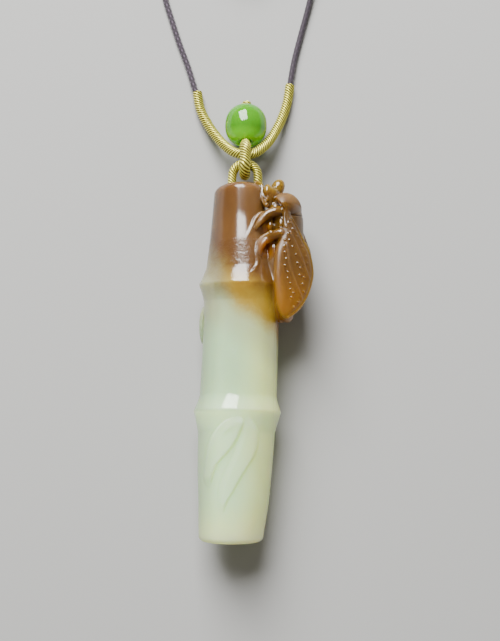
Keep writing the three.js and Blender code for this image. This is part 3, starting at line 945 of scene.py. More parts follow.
# %% Stem sizes
LOWER_END, LOWER_NODE, UPPER_NODE = -21.15, 0.0, 21.5
RIDGE, RIDGE_REACH, RIDGE_FALL = 0.8, 2.9, 1.3
CREST = 0.12
BELOW_LOWER_NODE, ABOVE_LOWER_NODE = 0.8, 1.12
LOWER_NODE_RADIUS, UPPER_NODE_RADIUS = 7.26, 7.16
# A segment's two ends, its radius at each and how far it swells between them.
SEGMENTS = [
    (LOWER_END, LOWER_NODE, 5.25, LOWER_NODE_RADIUS - RIDGE, 0.25),
    (LOWER_NODE, UPPER_NODE, LOWER_NODE_RADIUS - RIDGE, UPPER_NODE_RADIUS - RIDGE, -0.03),
    (UPPER_NODE, TOP_FACE, UPPER_NODE_RADIUS - RIDGE, 4.23, -0.25),
]
LOWER_ROUNDING, UPPER_ROUNDING = 0.8, 1.3
# Places along the stem with the nodes' slant, the section's lean, and the front's tilt in degrees.
SLANT = [(0, -0.35), (UPPER_NODE, 0.42)]
OVAL = [(0, -0.035), (UPPER_NODE, 0.07), (30, 0.085)]
FRONT_TILT = [
    (23.3, 0), (24.0, -5.0), (28.1, -4.6), (28.7, 2.4), (32.0, 2.2), (33.8, -4.0), (37, -4.0), (38, 0),
]
BOW, BOW_MIDDLE = 0.78, 17
BACK_BOW = 0.25


def bow(y):
    """How far the stem's middle line lies towards the cicada."""
    fade = np.where(y > BOW_MIDDLE, 14, 24)
    return BOW * np.exp(-(((y - BOW_MIDDLE) / fade) ** 2)) - BACK_BOW * rise(-y, 14, 21)


def ridge(y):
    """How far a node's ridge stands out; the lower node's is wider below than above."""
    gaps = [np.hypot(y - node, CREST) - CREST for node in (LOWER_NODE, UPPER_NODE)]
    gaps[0] = gaps[0] * np.where(y < LOWER_NODE, BELOW_LOWER_NODE, ABOVE_LOWER_NODE)
    near = np.clip(1 - np.minimum(*gaps) / RIDGE_REACH, 0, 1)
    return RIDGE * near**RIDGE_FALL


nodes = np.array([LOWER_NODE, UPPER_NODE])
print("the ridges stand out", ridge(nodes).round(2), "mm")


# %% Stem shape
def stem_radius(y):
    """A segment's radius: a straight taper and a swell or a waist."""
    y = np.asarray(y, float)
    radius = np.zeros_like(y)
    for low, high, start, end, swell in SEGMENTS:
        t = (y - low) / (high - low)
        here = start + (end - start) * t + swell * np.sin(np.pi * t)
        radius = np.where((y > low) | (low == LOWER_END), here, radius)
    return radius


def front_wave(y):
    """How far the front stands out where the carver's strokes left it steeper or flatter."""
    line = np.linspace(LOWER_END, TOP_FACE, 1200)
    steps = np.tan(np.radians(np.interp(line, *zip(*FRONT_TILT)))) * (line[1] - line[0])
    return -np.interp(y, line, np.cumsum(steps))


def oval(x, y, z):
    """A hand-carved stem isn't quite round: its front leans, one way low and the other high."""
    share = np.interp(y, *zip(*OVAL))
    across, up = x - bow(y), z - AXIS
    return 1 + share * 2 * across * up / np.maximum(across**2 + up**2, 1)


print("radius at the nodes", (stem_radius(nodes) + ridge(nodes)).round(2), "mm")

# %% [markdown]
# ## Bamboo leaves
# Two long leaves lie over each other on the lowest segment, in very low relief: each rises
# softly from one side and ends in a crisp step on the other. A bump texture would look right
# only from the front. So a leaf is two edges that run down the stem, and its height depends on
# how far a point lies between them.

# %% Leaf edges
LEAVES = [
    {
        "relief": 0.30,
        "fade": 2.6,
        "start": 0.9,
        "soft": [(1.3, -0.8), (1.1, -3.4), (0.3, -6.6), (-1.0, -9.5), (-2.1, -12.5), (-2.2, -15.0),
                 (-1.6, -17.0)],
        "crisp": [(2.6, -0.8), (3.75, -3.2), (3.79, -5.31), (3.34, -6.90), (2.72, -8.01), (1.64, -9.76),
                  (0.71, -11.35), (-0.05, -12.77), (-0.82, -14.04), (-1.27, -15.14), (-1.5, -17.0)],
    },
    {
        "relief": 0.36,
        "fade": 1.0,
        "start": 0.22,
        "soft": [(0.3, -0.9), (-0.9, -1.25), (-2.1, -2.15), (-3.28, -3.69), (-3.89, -5.13), (-4.32, -7.03),
                 (-4.58, -9.40), (-4.70, -10.98), (-4.3, -12.07), (-3.75, -12.7)],
        "crisp": [(1.0, -0.9), (1.45, -1.7), (1.03, -2.98), (0.42, -4.41), (-0.50, -5.85), (-1.75, -7.29),
                  (-2.83, -8.57), (-3.28, -9.83), (-3.57, -10.94), (-3.68, -12.7)],
    },
]


def flat_line(points, step):
    """A smooth line through flat points, with its own points so far apart."""
    return smooth_path([(a, b, 0) for a, b in points], step)[0][:, :2]


def edge_at(points, y):
    """The x of a leaf's edge for each y."""
    line = flat_line(points, 0.2)
    order = np.argsort(line[:, 1])
    return np.interp(y, line[order, 1], line[order, 0])


for leaf in LEAVES:
    print("leaf", round(leaf["soft"][0][1] - leaf["soft"][-1][1], 1), "mm long, relief", leaf["relief"])

# %% Leaf relief
LEAF_TIP = 2.5
CRISP_STEP = 0.24
CRISP_GROOVE, SOFT_GROOVE, GROOVE_WIDTH = 0.025, 0.05, 0.16
GROOVE_FROM_SOFT, GROOVE_FROM_CRISP = -0.2, 0.34
FOLD_PLACE, FOLD_HEIGHT = (-1.0, -2.8), 0.17
FOLD_LENGTH, FOLD_WIDTH = 0.9, 0.36


def bump(gap, width):
    return np.exp(-((gap / width) ** 2))


def leaf_lift(x, y):
    """Height of the leaves over the stem; the second lies on the first."""
    lift = np.zeros(np.broadcast(x, y).shape)
    for leaf in LEAVES:
        soft, crisp = edge_at(leaf["soft"], y), edge_at(leaf["crisp"], y)
        width = np.maximum(crisp - soft, 0.05)
        share = np.clip((x - soft) / width, 0, 1)
        low, high = leaf["soft"][-1][1], leaf["soft"][0][1]
        ends = rise(y, low, low + LEAF_TIP) * (1 - rise(y, high - leaf["fade"], high + 0.2))
        side = rise(x - soft, -0.12, leaf["start"]) * (1 - rise(x - crisp, -0.1, CRISP_STEP))
        dish = 0.62 + 0.38 * share - 0.22 * np.sin(np.pi * share) * rise(width, 0.8, 2.2)
        own = leaf["relief"] * dish * side * ends
        groove = SOFT_GROOVE * bump(x - soft - GROOVE_FROM_SOFT, GROOVE_WIDTH) * ends
        groove += CRISP_GROOVE * bump(x - crisp - GROOVE_FROM_CRISP, GROOVE_WIDTH) * ends
        on_top = np.maximum(own + 0.4 * lift * side, lift * (1 - side))
        lift = np.where(side > 0.02, on_top, lift) - groove
    dx, dy = 0.7 * (x - FOLD_PLACE[0]), 0.7 * (y - FOLD_PLACE[1])
    return lift + FOLD_HEIGHT * bump(dx + dy, FOLD_LENGTH) * bump(dx - dy, FOLD_WIDTH)


x, y = np.linspace(-5, 4, 91)[:, None], np.linspace(-17, -1, 161)[None, :]
print("leaves rise up to", round(float(leaf_lift(x, y).max()), 2), "mm")

# %% Stem in the grid
RIDGE_UNDER_CICADA = 0.35


def stem_distance(x, y, z):
    """Distance to the stem's surface; the upper ridge is low where the cicada covers it."""
    lift = leaf_lift(x, y) * (z > AXIS)
    slanted = y + np.interp(y, *zip(*SLANT)) * (z - AXIS) / UPPER_NODE_RADIUS
    radius = stem_radius(slanted) + ridge(slanted)
    slope = np.gradient(radius, axis=1) / GRAIN
    covered = rise(x - bow(y), 1.5, 4.0) * rise(y, 15, 18) * (z > AXIS)
    radius = radius * oval(x, y, z) - (1 - RIDGE_UNDER_CICADA) * covered * ridge(slanted)
    gap = np.hypot(x - bow(y), z - AXIS)
    in_front = np.clip((z - AXIS) / np.maximum(gap, 1), 0, 1) ** 2
    side = (gap - radius - lift - in_front * front_wave(y)) / np.sqrt(1 + slope**2)
    ends = np.maximum(LOWER_END - y, y - TOP_FACE)
    return rounded_cut(side, ends, np.where(y > 0, UPPER_ROUNDING, LOWER_ROUNDING))


cut, x, y, z = block(GRID_LOW, stone_high + AIR)
stone = stem_distance(x, y, z).astype(np.float32)
print("stem", stone.shape, "from", round(float(stone.min()), 2), "mm")

# %% [markdown]
# ## Rounded masses and limbs
# The cicada's body is a handful of egg shapes, and each leg a tapering rod along a path. Blender's
# metaballs join in this way as well, but a crisp cut can't be made in them. Here both are
# distances too, worked out only in the block of the grid where they lie.

# %% Masses and limbs
CICADA_LENGTH = 24.9
HUNDREDTH = CICADA_LENGTH / 100
CICADA_SIDE = UPPER_NODE_RADIUS - RIDGE + float(bow(UPPER_NODE))
CICADA_TURN = math.radians(20)
ROOM = 0.5


def on_cicada(x, y, z):
    """A place in hundredths of the cicada, from the side of the upper node."""
    return np.array([CICADA_SIDE + x * HUNDREDTH, UPPER_NODE + y * HUNDREDTH, AXIS + z * HUNDREDTH])


def on_stem(degrees, along, lift):
    """A point over the stem's surface: along and lift in hundredths of the cicada."""
    y = UPPER_NODE + along * HUNDREDTH
    radius = float(stem_radius(y) + ridge(y)) + lift * HUNDREDTH
    angle = math.radians(degrees)
    return np.array([float(bow(y)) + radius * math.cos(angle), y, AXIS + radius * math.sin(angle)])


def add(centre, reach, distance, fillet):
    """Joins a shape to the stone within reach of its centre."""
    cut, x, y, z = block(centre - reach, centre + reach)
    stone[cut] = joined(stone[cut], distance(x, y, z), fillet)


def egg(centre, radii, fillet, turn=CICADA_TURN, lean=0.0):
    """An egg shape, turned about the stem's direction and then leaning sideways."""
    def distance(x, y, z):
        px, pz = turned(x - centre[0], z - centre[2], turn)
        px, py = turned(px, y - centre[1], lean)
        scaled = np.sqrt(sum((p / r) ** 2 for p, r in zip((px, py, pz), radii)))
        steep = np.sqrt(sum((p / r**2) ** 2 for p, r in zip((px, py, pz), radii)))
        return scaled * (scaled - 1) / np.maximum(steep, 1e-6)

    add(np.asarray(centre), max(radii) + fillet + ROOM, distance, fillet)


def limb(points, radii, fillet, step=0.45):
    """A round rod along a smooth path, with its radii spread evenly along it."""
    path = smooth_path(points, step)[0]
    centre = (path.min(axis=0) + path.max(axis=0)) / 2
    reach = (path.max(axis=0) - path.min(axis=0)) / 2 + max(radii) + fillet + ROOM
    add(centre, reach, lambda *place: from_path(place, path, radii), fillet)


print("cicada's side at", round(CICADA_SIDE, 2), "mm")

# %% [markdown]
# ## The leaf behind
# Only its edge is seen from the front: a third leaf lies on the left of the middle segment.
# Heights drawn from the front would be stretched there. So a flat egg shape, sunk in the stem's
# side, gives its body, and one limb its midrib.

# %% Leaf behind
LEAF_SIDE, LEAF_MIDDLE = 192, -27.6
egg(on_stem(LEAF_SIDE, LEAF_MIDDLE, 0), (0.85, 3.4, 1.6), 0.12, turn=math.radians(LEAF_SIDE - 180))
midrib = [on_stem(LEAF_SIDE, LEAF_MIDDLE + along, lift) for along, lift in ((9, 2.1), (0, 2.9), (-9, 2.1))]
limb(midrib, (0.1, 0.22, 0.1), 0.1)
print("leaf behind at", on_stem(LEAF_SIDE, LEAF_MIDDLE, 0).round(1), "mm")

# %% [markdown]
# ## Cicada's body
# Head up and belly to the stem: abdomen, back, head and two eyes that stand out wide. Sculpting
# would give one mesh in which no form can be moved by itself. Here each mass is an egg shape with
# its centre, its three radii, its lean and its fillet. Fillings go in first and close the narrow
# gaps that a carver would leave as solid stone.

# %% Cicada's body
FILLINGS = {
    "under the first leg": ((4.9, 31.0, 9.9), (1.5, 2.6, 1.5), 0.0, 0.3),
    "under the second leg": ((6.3, 26.5, 9.8), (1.3, 4.2, 1.8), 0.0, 0.4),
    "under the wing": ((7.2, 21.0, 9.4), (1.3, 6.2, 2.5), 0.04, 0.5),
    "under the wing's tip": ((8.35, 16.0, 10.2), (1.0, 1.15, 1.8), 0.0, 0.3),
    "beside the head": ((5.3, 35.8, 9.7), (1.0, 1.6, 1.2), 0.0, 0.3),
    "under the collar": ((6.4, 33.9, 9.9), (1.2, 1.5, 1.2), 0.0, 0.3),
}
MASSES = {
    "abdomen": ((8.25, 24.9, 9.0), (3.05, 9.9, 3.3), -0.05, 0.3),
    "back": ((8.2, 31.0, 8.9), (2.75, 5.0, 3.5), -0.12, 0.3),
    "head": ((5.55, 36.5, 9.3), (1.5, 1.75, 1.75), 0.2, 0.4),
    "far eye": ((6.6, 38.05, 8.5), (1.15, 1.65, 1.15), -0.45, 0.2),
    "near eye": ((4.95, 37.0, 10.2), (0.75, 1.3, 0.95), 0.05, 0.2),
    "mouth": ((4.75, 35.5, 10.9), (0.38, 0.42, 0.4), 0.0, 0.15),
    "wing's root": ((7.12, 30.85, 12.2), (0.42, 1.2, 0.5), 0.0, 0.1),
    "side between the legs": ((5.45, 30.8, 11.5), (0.55, 1.0, 0.6), 0.0, 0.12),
    "second leg's shoulder": ((7.2, 28.1, 12.4), (0.45, 0.75, 0.45), 0.0, 0.15),
}
for centre, radii, lean, fillet in [*FILLINGS.values(), *MASSES.values()]:
    egg(centre, radii, fillet, lean=lean)

belly_folds = [
    ([(5.4, 27.2, 10.3), (5.55, 25.9, 10.9), (5.7, 24.6, 11.0), (5.85, 21.4, 10.6)], (0.2, 0.34, 0.36, 0.15)),
    ([(6.6, 28.4, 11.8), (6.75, 26.3, 12.0), (6.9, 22.5, 11.6)], (0.25, 0.34, 0.15)),
]
for path, radii in belly_folds:
    limb(path, radii, 0.4)
print("cicada's body:", ", ".join(MASSES))

# %% [markdown]
# ## Collar
# Behind its head a cicada has a broad plate. An egg shape alone would melt into the back, so it
# is cut off along two crisp edges: one where the wings begin and one beside the first leg. A
# shallow line is then scored under it.

# %% Cicada's collar
COLLAR_CENTRE, COLLAR_RADII = np.array([8.15, 34.3, 9.5]), (2.4, 2.6, 3.95)
WING_EDGE, WING_EDGE_SLOPE = (7.6, 33.25), math.atan2(-0.75, 2.3)
LEG_EDGE, LEG_EDGE_SIDE = (6.38, 35.19), (0.81, 0.58)
SEAM_LOW, SEAM_HIGH = (7.4, 31.8, 8.0), (11.5, 34.5, 14.0)
SEAM_WIDTH, SEAM_DEPTH = 0.11, 0.22


def collar(x, y, z):
    px, pz = turned(x - COLLAR_CENTRE[0], z - COLLAR_CENTRE[2], CICADA_TURN)
    place = (px, y - COLLAR_CENTRE[1], pz)
    body = (np.sqrt(sum((p / r) ** 2 for p, r in zip(place, COLLAR_RADII))) - 1) * min(COLLAR_RADII)
    below_wings = -turned(x - WING_EDGE[0], y - WING_EDGE[1], WING_EDGE_SLOPE)[1]
    before_leg = (LEG_EDGE[0] - x) * LEG_EDGE_SIDE[0] + (LEG_EDGE[1] - y) * LEG_EDGE_SIDE[1]
    return rounded_cut(rounded_cut(body, below_wings, 0.15), before_leg, 0.2)


def scored(low, high, line, width, depth):
    """Scores a shallow line across the stone; line gives its y for each x."""
    cut, x, y, z = block(low, high)
    here = stone[cut]
    groove = np.maximum(np.abs(y - line(x)) - width, -here - depth)
    stone[cut] = rounded_cut(here, -groove, 0.06)


def seam(x):
    return 32.7 + 0.10 * (x - 9.1) ** 2


add(COLLAR_CENTRE, max(COLLAR_RADII) + ROOM, collar, 0.06)
scored(SEAM_LOW, SEAM_HIGH, seam, SEAM_WIDTH, SEAM_DEPTH)
print("collar", [round(2 * r, 1) for r in COLLAR_RADII], "mm")

# %% [markdown]
# ## Legs
# Two legs hold the front of the stem, with a thick thigh and a thin shin that lies flat on the
# stone, and a feeler curls over its top edge. Tubes laid on the stone would look glued on, so each
# is a limb that melts into it, along a few listed points with a radius at each. A web under
# a thigh stands for the stone left there. The far side's two legs aren't seen, and are plainer.

# %% Cicada's legs
LEGS = {
    "first web": (
        [(6.6, 33.0, 10.7), (4.9, 32.5, 11.1), (3.5, 31.2, 11.3)],
        (0.75, 0.66, 0.45),
    ),
    "first thigh": (
        [(7.2, 33.3, 11.8), (6.14, 33.15, 11.95), (5.1, 32.75, 12.1), (4.15, 31.9, 12.3), (3.4, 30.95, 12.4),
         (3.0, 30.3, 11.95)],
        (0.9, 0.88, 0.78, 0.62, 0.45, 0.3),
    ),
    "first shin": (
        [(4.7, 33.1, 11.0), (3.8, 32.95, 11.35), (3.0, 32.1, 11.55), (2.38, 30.55, 11.75),
         (1.78, 29.13, 11.98), (1.21, 28.27, 12.02)],
        (0.36, 0.36, 0.38, 0.42, 0.45, 0.36),
    ),
    "second web": (
        [(6.4, 28.9, 11.2), (5.0, 28.4, 11.4), (4.0, 27.2, 11.4)],
        (0.7, 0.5, 0.4),
    ),
    "second thigh": (
        [(7.16, 29.38, 12.5), (6.09, 29.09, 12.3), (5.05, 28.53, 12.08), (4.15, 27.56, 12.32),
         (3.76, 26.36, 12.1), (3.75, 25.16, 11.7)],
        (0.95, 0.83, 0.64, 0.5, 0.42, 0.33),
    ),
    "second shin": (
        [(5.52, 29.53, 12.4), (3.97, 28.53, 12.2), (3.33, 27.28, 12.1), (3.2, 26.0, 12.15),
         (3.32, 24.91, 12.15), (3.27, 23.93, 12.4), (2.82, 23.09, 12.9), (2.43, 22.72, 13.05)],
        (0.42, 0.37, 0.36, 0.35, 0.36, 0.36, 0.32, 0.24),
    ),
    "feeler": (
        [(4.72, 34.39, 11.5), (4.21, 35.22, 10.9), (4.05, 36.21, 10.35), (4.04, 37.33, 9.95),
         (3.9, 38.15, 9.6), (3.5, 38.75, 9.6), (2.9, 38.7, 9.9)],
        (0.45, 0.36, 0.32, 0.3, 0.3, 0.3, 0.26),
    ),
}
FAR_LEGS = [
    ((3.9, 47, -7.8), [(-25, 45, 3.7), (-45, 39, 2.0), (-58, 28, 0.8)], (4.5, 3.5, 2.5, 1.8)),
    ((3.9, 31, -6.1), [(-22, 28, 2.9), (-38, 21, 1.6), (-46, 9, 0.4)], (3.7, 2.9, 2.0, 1.6)),
]
for path, radii in LEGS.values():
    limb(path, radii, 0.16, step=0.3)
for hip, hold, radii in FAR_LEGS:
    limb([on_cicada(*hip), *(on_stem(*p) for p in hold)], np.array(radii) * HUNDREDTH, 0.14)
print("limbs:", ", ".join(LEGS), "and", len(FAR_LEGS), "far legs")

# %% [markdown]
# ## Wings
# A folded wing is a thin domed plate with a raised front edge, veins and rows of small beads. It
# could be sculpted, but then nothing would tell where a bead lies. So all of it is drawn flat, as
# heights on a table of points across and along the wing, and the table is looked up where the
# grid meets the wing's plane.

# %% Wing outline
WING_TILT = math.radians(23)
WING_ROOT = on_cicada(-1.4, 0, 25.3)
NEAR_EDGE = [
    (3.6, 56.0), (3.3, 44.3), (3.2, 38.8), (3.1, 33.0), (1.5, 27.9), (-1.3, 20.2), (-2.5, 7.4),
    (-2.1, -3.8), (-0.4, -14.7), (2.3, -21.8), (5.2, -24.6), (7.9, -25.4),
]
FAR_EDGE = [
    (5.5, 56.0), (9.9, 43.5), (13.9, 37.3), (19.2, 27.9), (22.0, 23.7), (24.7, 16.4), (26.3, 6.7),
    (25.4, -0.1), (21.5, -10.8), (14.2, -20.6), (7.9, -25.4),
]
TABLE_STEP = 0.06
TABLE_LOW = np.array([-1.5, -7.5])
TABLE_COUNTS = (150, 330)
across_wing = TABLE_LOW[0] + TABLE_STEP * np.arange(TABLE_COUNTS[0])[:, None]
along_wing = TABLE_LOW[1] + TABLE_STEP * np.arange(TABLE_COUNTS[1])[None, :]


def from_line(line):
    """Distance of each table point to a flat line."""
    return from_path((across_wing, along_wing), line)


near_line, far_line = (flat_line(np.array(edge) * HUNDREDTH, 0.25) for edge in (NEAR_EDGE, FAR_EDGE))
near_at, far_at = (np.interp(along_wing, *line[::-1, ::-1].T) for line in (near_line, far_line))
within = (across_wing > near_at) & (across_wing < far_at)
within &= (along_wing < near_line[0, 1]) & (along_wing > near_line[-1, 1])
to_near, to_far = from_line(near_line), from_line(far_line)
inside = np.where(within, 1, -1) * np.minimum(to_near, to_far)
print("wing", round(np.ptp(far_line[:, 1]), 1), "mm long,", round(2 * inside.max(), 1), "mm wide")

# %% Wing relief
VEINS = [
    [(8.1, 27.6), (8.25, 26.5), (8.66, 24.0), (9.43, 21.65), (10.77, 18.72)],
    [(8.8, 29.6), (8.97, 29.0), (9.57, 27.74), (10.21, 26.35), (11.08, 24.21), (12.05, 21.89)],
]
BEADS = [
    (8.78, 31.82), (8.54, 31.16), (8.11, 30.41), (8.37, 29.27), (8.55, 28.17), (7.79, 28.15), (7.75, 27.10),
    (7.83, 26.04), (8.04, 24.98), (7.86, 23.87), (8.40, 22.82), (8.36, 21.80), (8.80, 21.02), (8.83, 20.01),
    (9.31, 19.47), (9.01, 18.65), (9.45, 17.11), (9.16, 30.17), (9.11, 27.12), (9.67, 25.81), (9.98, 24.46),
    (10.44, 23.69), (10.35, 22.47), (11.06, 22.19), (10.84, 21.08), (11.12, 19.78), (10.20, 18.05),
]
FAINT_BEADS = [(9.80, 29.6), (9.80, 28.96), (10.63, 27.41), (10.86, 26.78), (11.34, 25.8), (11.54, 24.61)]
EDGE_HEIGHT, DOME_HEIGHT = 0.10, 0.70
VEIN_HEIGHT, VEIN_WIDTH = 0.15, 0.14
BEAD_HEIGHT, FAINT_BEAD_HEIGHT, WING_BEAD_RADIUS = 0.18, 0.09, 0.21
ROOT_DROP = 0.15


def on_wing(x, y):
    """Across and along the wing for a place seen from above, in millimetres."""
    return ((x - WING_ROOT[0] - 0.25) / math.cos(WING_TILT), y - UPPER_NODE)


def wing_bead(place, stands_out):
    u, v = on_wing(*place)
    gap = np.hypot(across_wing - u, along_wing - v)
    return stands_out * np.sqrt(np.clip(1 - (gap / WING_BEAD_RADIUS) ** 2, 0, 1))


rounding = 0.9 - 0.5 * rise(to_far - to_near, 0, 2.5)
height = EDGE_HEIGHT + DOME_HEIGHT * (1 - np.exp(-np.clip(inside, 0, 9) / rounding))
rim = 0.13 * bump(to_far - 0.16, 0.15) - 0.06 * bump(to_far - 0.52, 0.2)
height += rim * (along_wing < 10.5)
for vein in VEINS:
    height += VEIN_HEIGHT * bump(from_line(flat_line([on_wing(*p) for p in vein], 0.25)), VEIN_WIDTH)
for place in BEADS:
    height += wing_bead(place, BEAD_HEIGHT)
for place in FAINT_BEADS:
    height += wing_bead(place, FAINT_BEAD_HEIGHT)
height -= ROOT_DROP * rise(along_wing, 7.0, 11.8)
print("wing", len(VEINS), "veins,", len(BEADS), "beads, highest", round(height.max(), 2), "mm")

# %% Both wings
MIDDLE = on_cicada(3.9, 0, 8.2)
WING_THICKNESS = 0.45
WING_REACH = np.array([5.0, 9.6, 5.2])
FAR_SHORTER, FAR_LOWER, FAR_NARROWER = 1.2, 1.4, 1.12


def looked_up(table, u, v):
    """The table's value at u, v, between its points."""
    a = np.clip((u - TABLE_LOW[0]) / TABLE_STEP, 0, TABLE_COUNTS[0] - 1.001)
    b = np.clip((v - TABLE_LOW[1]) / TABLE_STEP, 0, TABLE_COUNTS[1] - 1.001)
    i, j = a.astype(int), b.astype(int)
    s, t = a - i, b - j
    return (
        table[i, j] * (1 - s) * (1 - t)
        + table[i + 1, j] * s * (1 - t)
        + table[i, j + 1] * (1 - s) * t
        + table[i + 1, j + 1] * s * t
    )


def across_middle(x, z):
    """The place on the cicada's other side."""
    _, off = turned(x - MIDDLE[0], z - MIDDLE[2], CICADA_TURN)
    return x + 2 * off * math.sin(CICADA_TURN), z - 2 * off * math.cos(CICADA_TURN)


def wing(far_side):
    def distance(x, y, z):
        v = y - UPPER_NODE
        if far_side:
            x, z = across_middle(x, z)
            v = v * FAR_SHORTER - FAR_LOWER
        u, w = turned(x - WING_ROOT[0], z - WING_ROOT[2], -WING_TILT)
        if far_side:
            u = u * FAR_NARROWER
        u, v, w = np.broadcast_arrays(u, v, w)
        plate = np.maximum(w - looked_up(height, u, v), -w - WING_THICKNESS) * 0.9
        return rounded_cut(plate, -looked_up(inside, u, v), 0.14)

    middle = on_cicada(10, 10, 18)
    if far_side:
        middle[0], middle[2] = across_middle(middle[0], middle[2])
    add(middle, WING_REACH, distance, 0.1)
    print("far wing" if far_side else "near wing", "round", middle.round(1), "mm")


for far_side in (True, False):
    wing(far_side)

# %% [markdown]
# ## Hole and flat back
# The hole for the ring is drilled in a bend, in from the top end and out again. A Boolean with a
# bent tube would cut it as well, but with sharp edges. Here it follows the ring's own path, a
# little wider, so the two always fit. Everything under the surface that the pendant lies on is
# cut away too, so that the stem doesn't roll.

# %% Hole and flat back
HOLE_RADIUS = 0.95
HOLE_ROOM = 1.6
ring_path = smooth_path(ring_points, 0.5, closed=True)[0]
cut, x, y, z = block(ring_path.min(axis=0) - HOLE_ROOM, ring_path.max(axis=0) + HOLE_ROOM)
whole_ring = np.vstack([ring_path, ring_path[:1]])
tunnel = from_path((x, y, z), whole_ring, (HOLE_RADIUS, HOLE_RADIUS))
stone[cut] = rounded_cut(stone[cut], -tunnel, 0.12)
over_floor = (GRID_LOW[2] + GRAIN * np.arange(COUNTS[2]))[None, None, :]
stone = np.maximum(stone, -over_floor).astype(np.float32)
print("ring's hole", 2 * HOLE_RADIUS, "mm wide")

# %% [markdown]
# ## From distances to a mesh
# OpenVDB draws four-sided faces where the grid's distance is zero. That is more faces than the
# plain parts need, so a Decimate modifier thins them. Its flat triangles would show in the
# polish, so each point gets the normal that the distances give there.

# %% Mesh from the grid
MOST_TRIANGLES = 190000


def surface_mesh(name, field):
    """The surface where the field is zero."""
    volume = openvdb.FloatGrid(background=1.0)
    volume.copyFromArray(np.ascontiguousarray(np.clip(field, -1, 1)))
    volume.transform = openvdb.createLinearTransform(voxelSize=GRAIN)
    points, quads = volume.convertToQuads(isovalue=0.0)
    points = points + GRID_LOW
    return make_mesh(name, points, quads.tolist())


def thinned(piece, most):
    """The piece with at most so many triangles."""
    count = sum(len(p.vertices) - 2 for p in piece.data.polygons)
    if count > most:
        modifier = piece.modifiers.new("thin", "DECIMATE")
        modifier.ratio = most / count
        whole = piece.evaluated_get(bpy.context.evaluated_depsgraph_get())
        mesh = bpy.data.meshes.new_from_object(whole)
        piece.modifiers.clear()
        piece.data = mesh
    return piece


jade_carving = thinned(surface_mesh("jade_stem_and_cicada", stone), MOST_TRIANGLES)
smoothed(jade_carving.data)
print("stone", len(jade_carving.data.polygons), "faces")


# %% Normals from the grid
def field_normals(field, points):
    """The distance's slope at each point, which is the surface's own normal."""
    place = np.clip((points - GRID_LOW) / GRAIN, 1, np.array(field.shape) - 2.001)
    i = place.astype(int)
    t = place - i
    slope = np.zeros_like(points)
    for corner in np.ndindex(2, 2, 2):
        share = np.prod(np.where(np.array(corner), t, 1 - t), axis=1)
        a, b, c = (i + corner).T
        slope[:, 0] += share * (field[a + 1, b, c] - field[a - 1, b, c])
        slope[:, 1] += share * (field[a, b + 1, c] - field[a, b - 1, c])
        slope[:, 2] += share * (field[a, b, c + 1] - field[a, b, c - 1])
    return slope / np.linalg.norm(slope, axis=1)[:, None]


places = np.empty(len(jade_carving.data.vertices) * 3, np.float32)
jade_carving.data.vertices.foreach_get("co", places)
places = places.reshape(-1, 3) / MM
normals = field_normals(stone, np.minimum(places, stone_high + AIR - 3 * GRAIN))
jade_carving.data.normals_split_custom_set_from_vertices(normals.tolist())
print("highest point", places[places[:, 2].argmax()].round(2), "mm")

# %% Marks for the material
BEAD_EDGE, RAISED_FROM = 0.26, 20
x, y, z = places.T
to_bead = np.min([np.hypot(x - a, y - b) for a, b in BEADS], axis=0)
over_stem = np.hypot(x - bow(y), z - AXIS) - stem_radius(y) - ridge(y)
polished = rise(to_bead, BEAD_EDGE, BEAD_EDGE - 0.06) * (z > AXIS)
raised = rise(over_stem, 0.3, 0.8) * (y > RAISED_FROM)
store(jade_carving.data, "polished", polished)
store(jade_carving.data, "raised", raised)
print("points on beads", int((polished > 0.5).sum()), "and on raised forms", int((raised > 0.5).sum()))

# %% [markdown]
# ## The stone's colours
# Nephrite pebbles have a brown skin. The carver kept it for the cicada and the top of the stem,
# and below it the colour runs out through gold into pale green. So the colour is a matter of
# place: how far a point lies above a slanting, cloudy line.

# %% Clouds and the skin's line
skin = Finish("celadon_and_russet_jade")
spot = skin.place()
x, y, _ = skin.parts(spot)
clouds = skin.noise(spot, 7.0, detail=4, roughness=0.55, distortion=0.5)
wisps = skin.noise(spot, 1.6, detail=4, roughness=0.65, distortion=0.8)
grain = skin.noise(spot, 0.35, roughness=0.7)
SKIN_LINE = 18.2
to_left, to_right, far_right = (side.maths("MAXIMUM", side, 0) for side in (0 - x, x, x - 4))
skin_line = SKIN_LINE + 0.9 * to_left - 0.5 * to_right - 0.5 * far_right
above_line = y - skin_line + 3.5 * (clouds - 0.5) + 1.4 * (wisps - 0.5)
print("the skin begins at", SKIN_LINE, "mm, the upper node is at", UPPER_NODE, "mm")

# %% [markdown]
# ## Pale jade
# Below the line the stone is celadon on the left and yellower on the cicada's side and near the
# tip. That side and the tip are also painted lighter, as a glow of light passing through the stone;
# the left flank is painted darker and greyer, as shade, and the band under the lower node is painted
# lighter, as painted light against the shade there. A painted picture would need a flat layout of
# the whole carving. Coats over each other need none: each has a share that depends on the place, and
# a colour.

# %% Pale jade
celadon = skin.layers(
    skin.mix(clouds, (0.38, 0.56, 0.32), (0.50, 0.72, 0.44)),
    (skin.rise(y, 8, -4), (0.62, 0.86, 0.50)),
)
yellowish = skin.mix(clouds, (0.72, 0.84, 0.29), (0.88, 0.99, 0.44))
# Yellower towards the cicada's side and the tip: partly the stone's own tone, partly a painted glow of light
# passing through the stone.
yellow_side_and_glow = (skin.rise(x + 0.35 * wisps, -0.5, 6.5) + 0.6 * skin.rise(y, -13, -21)).clamped()
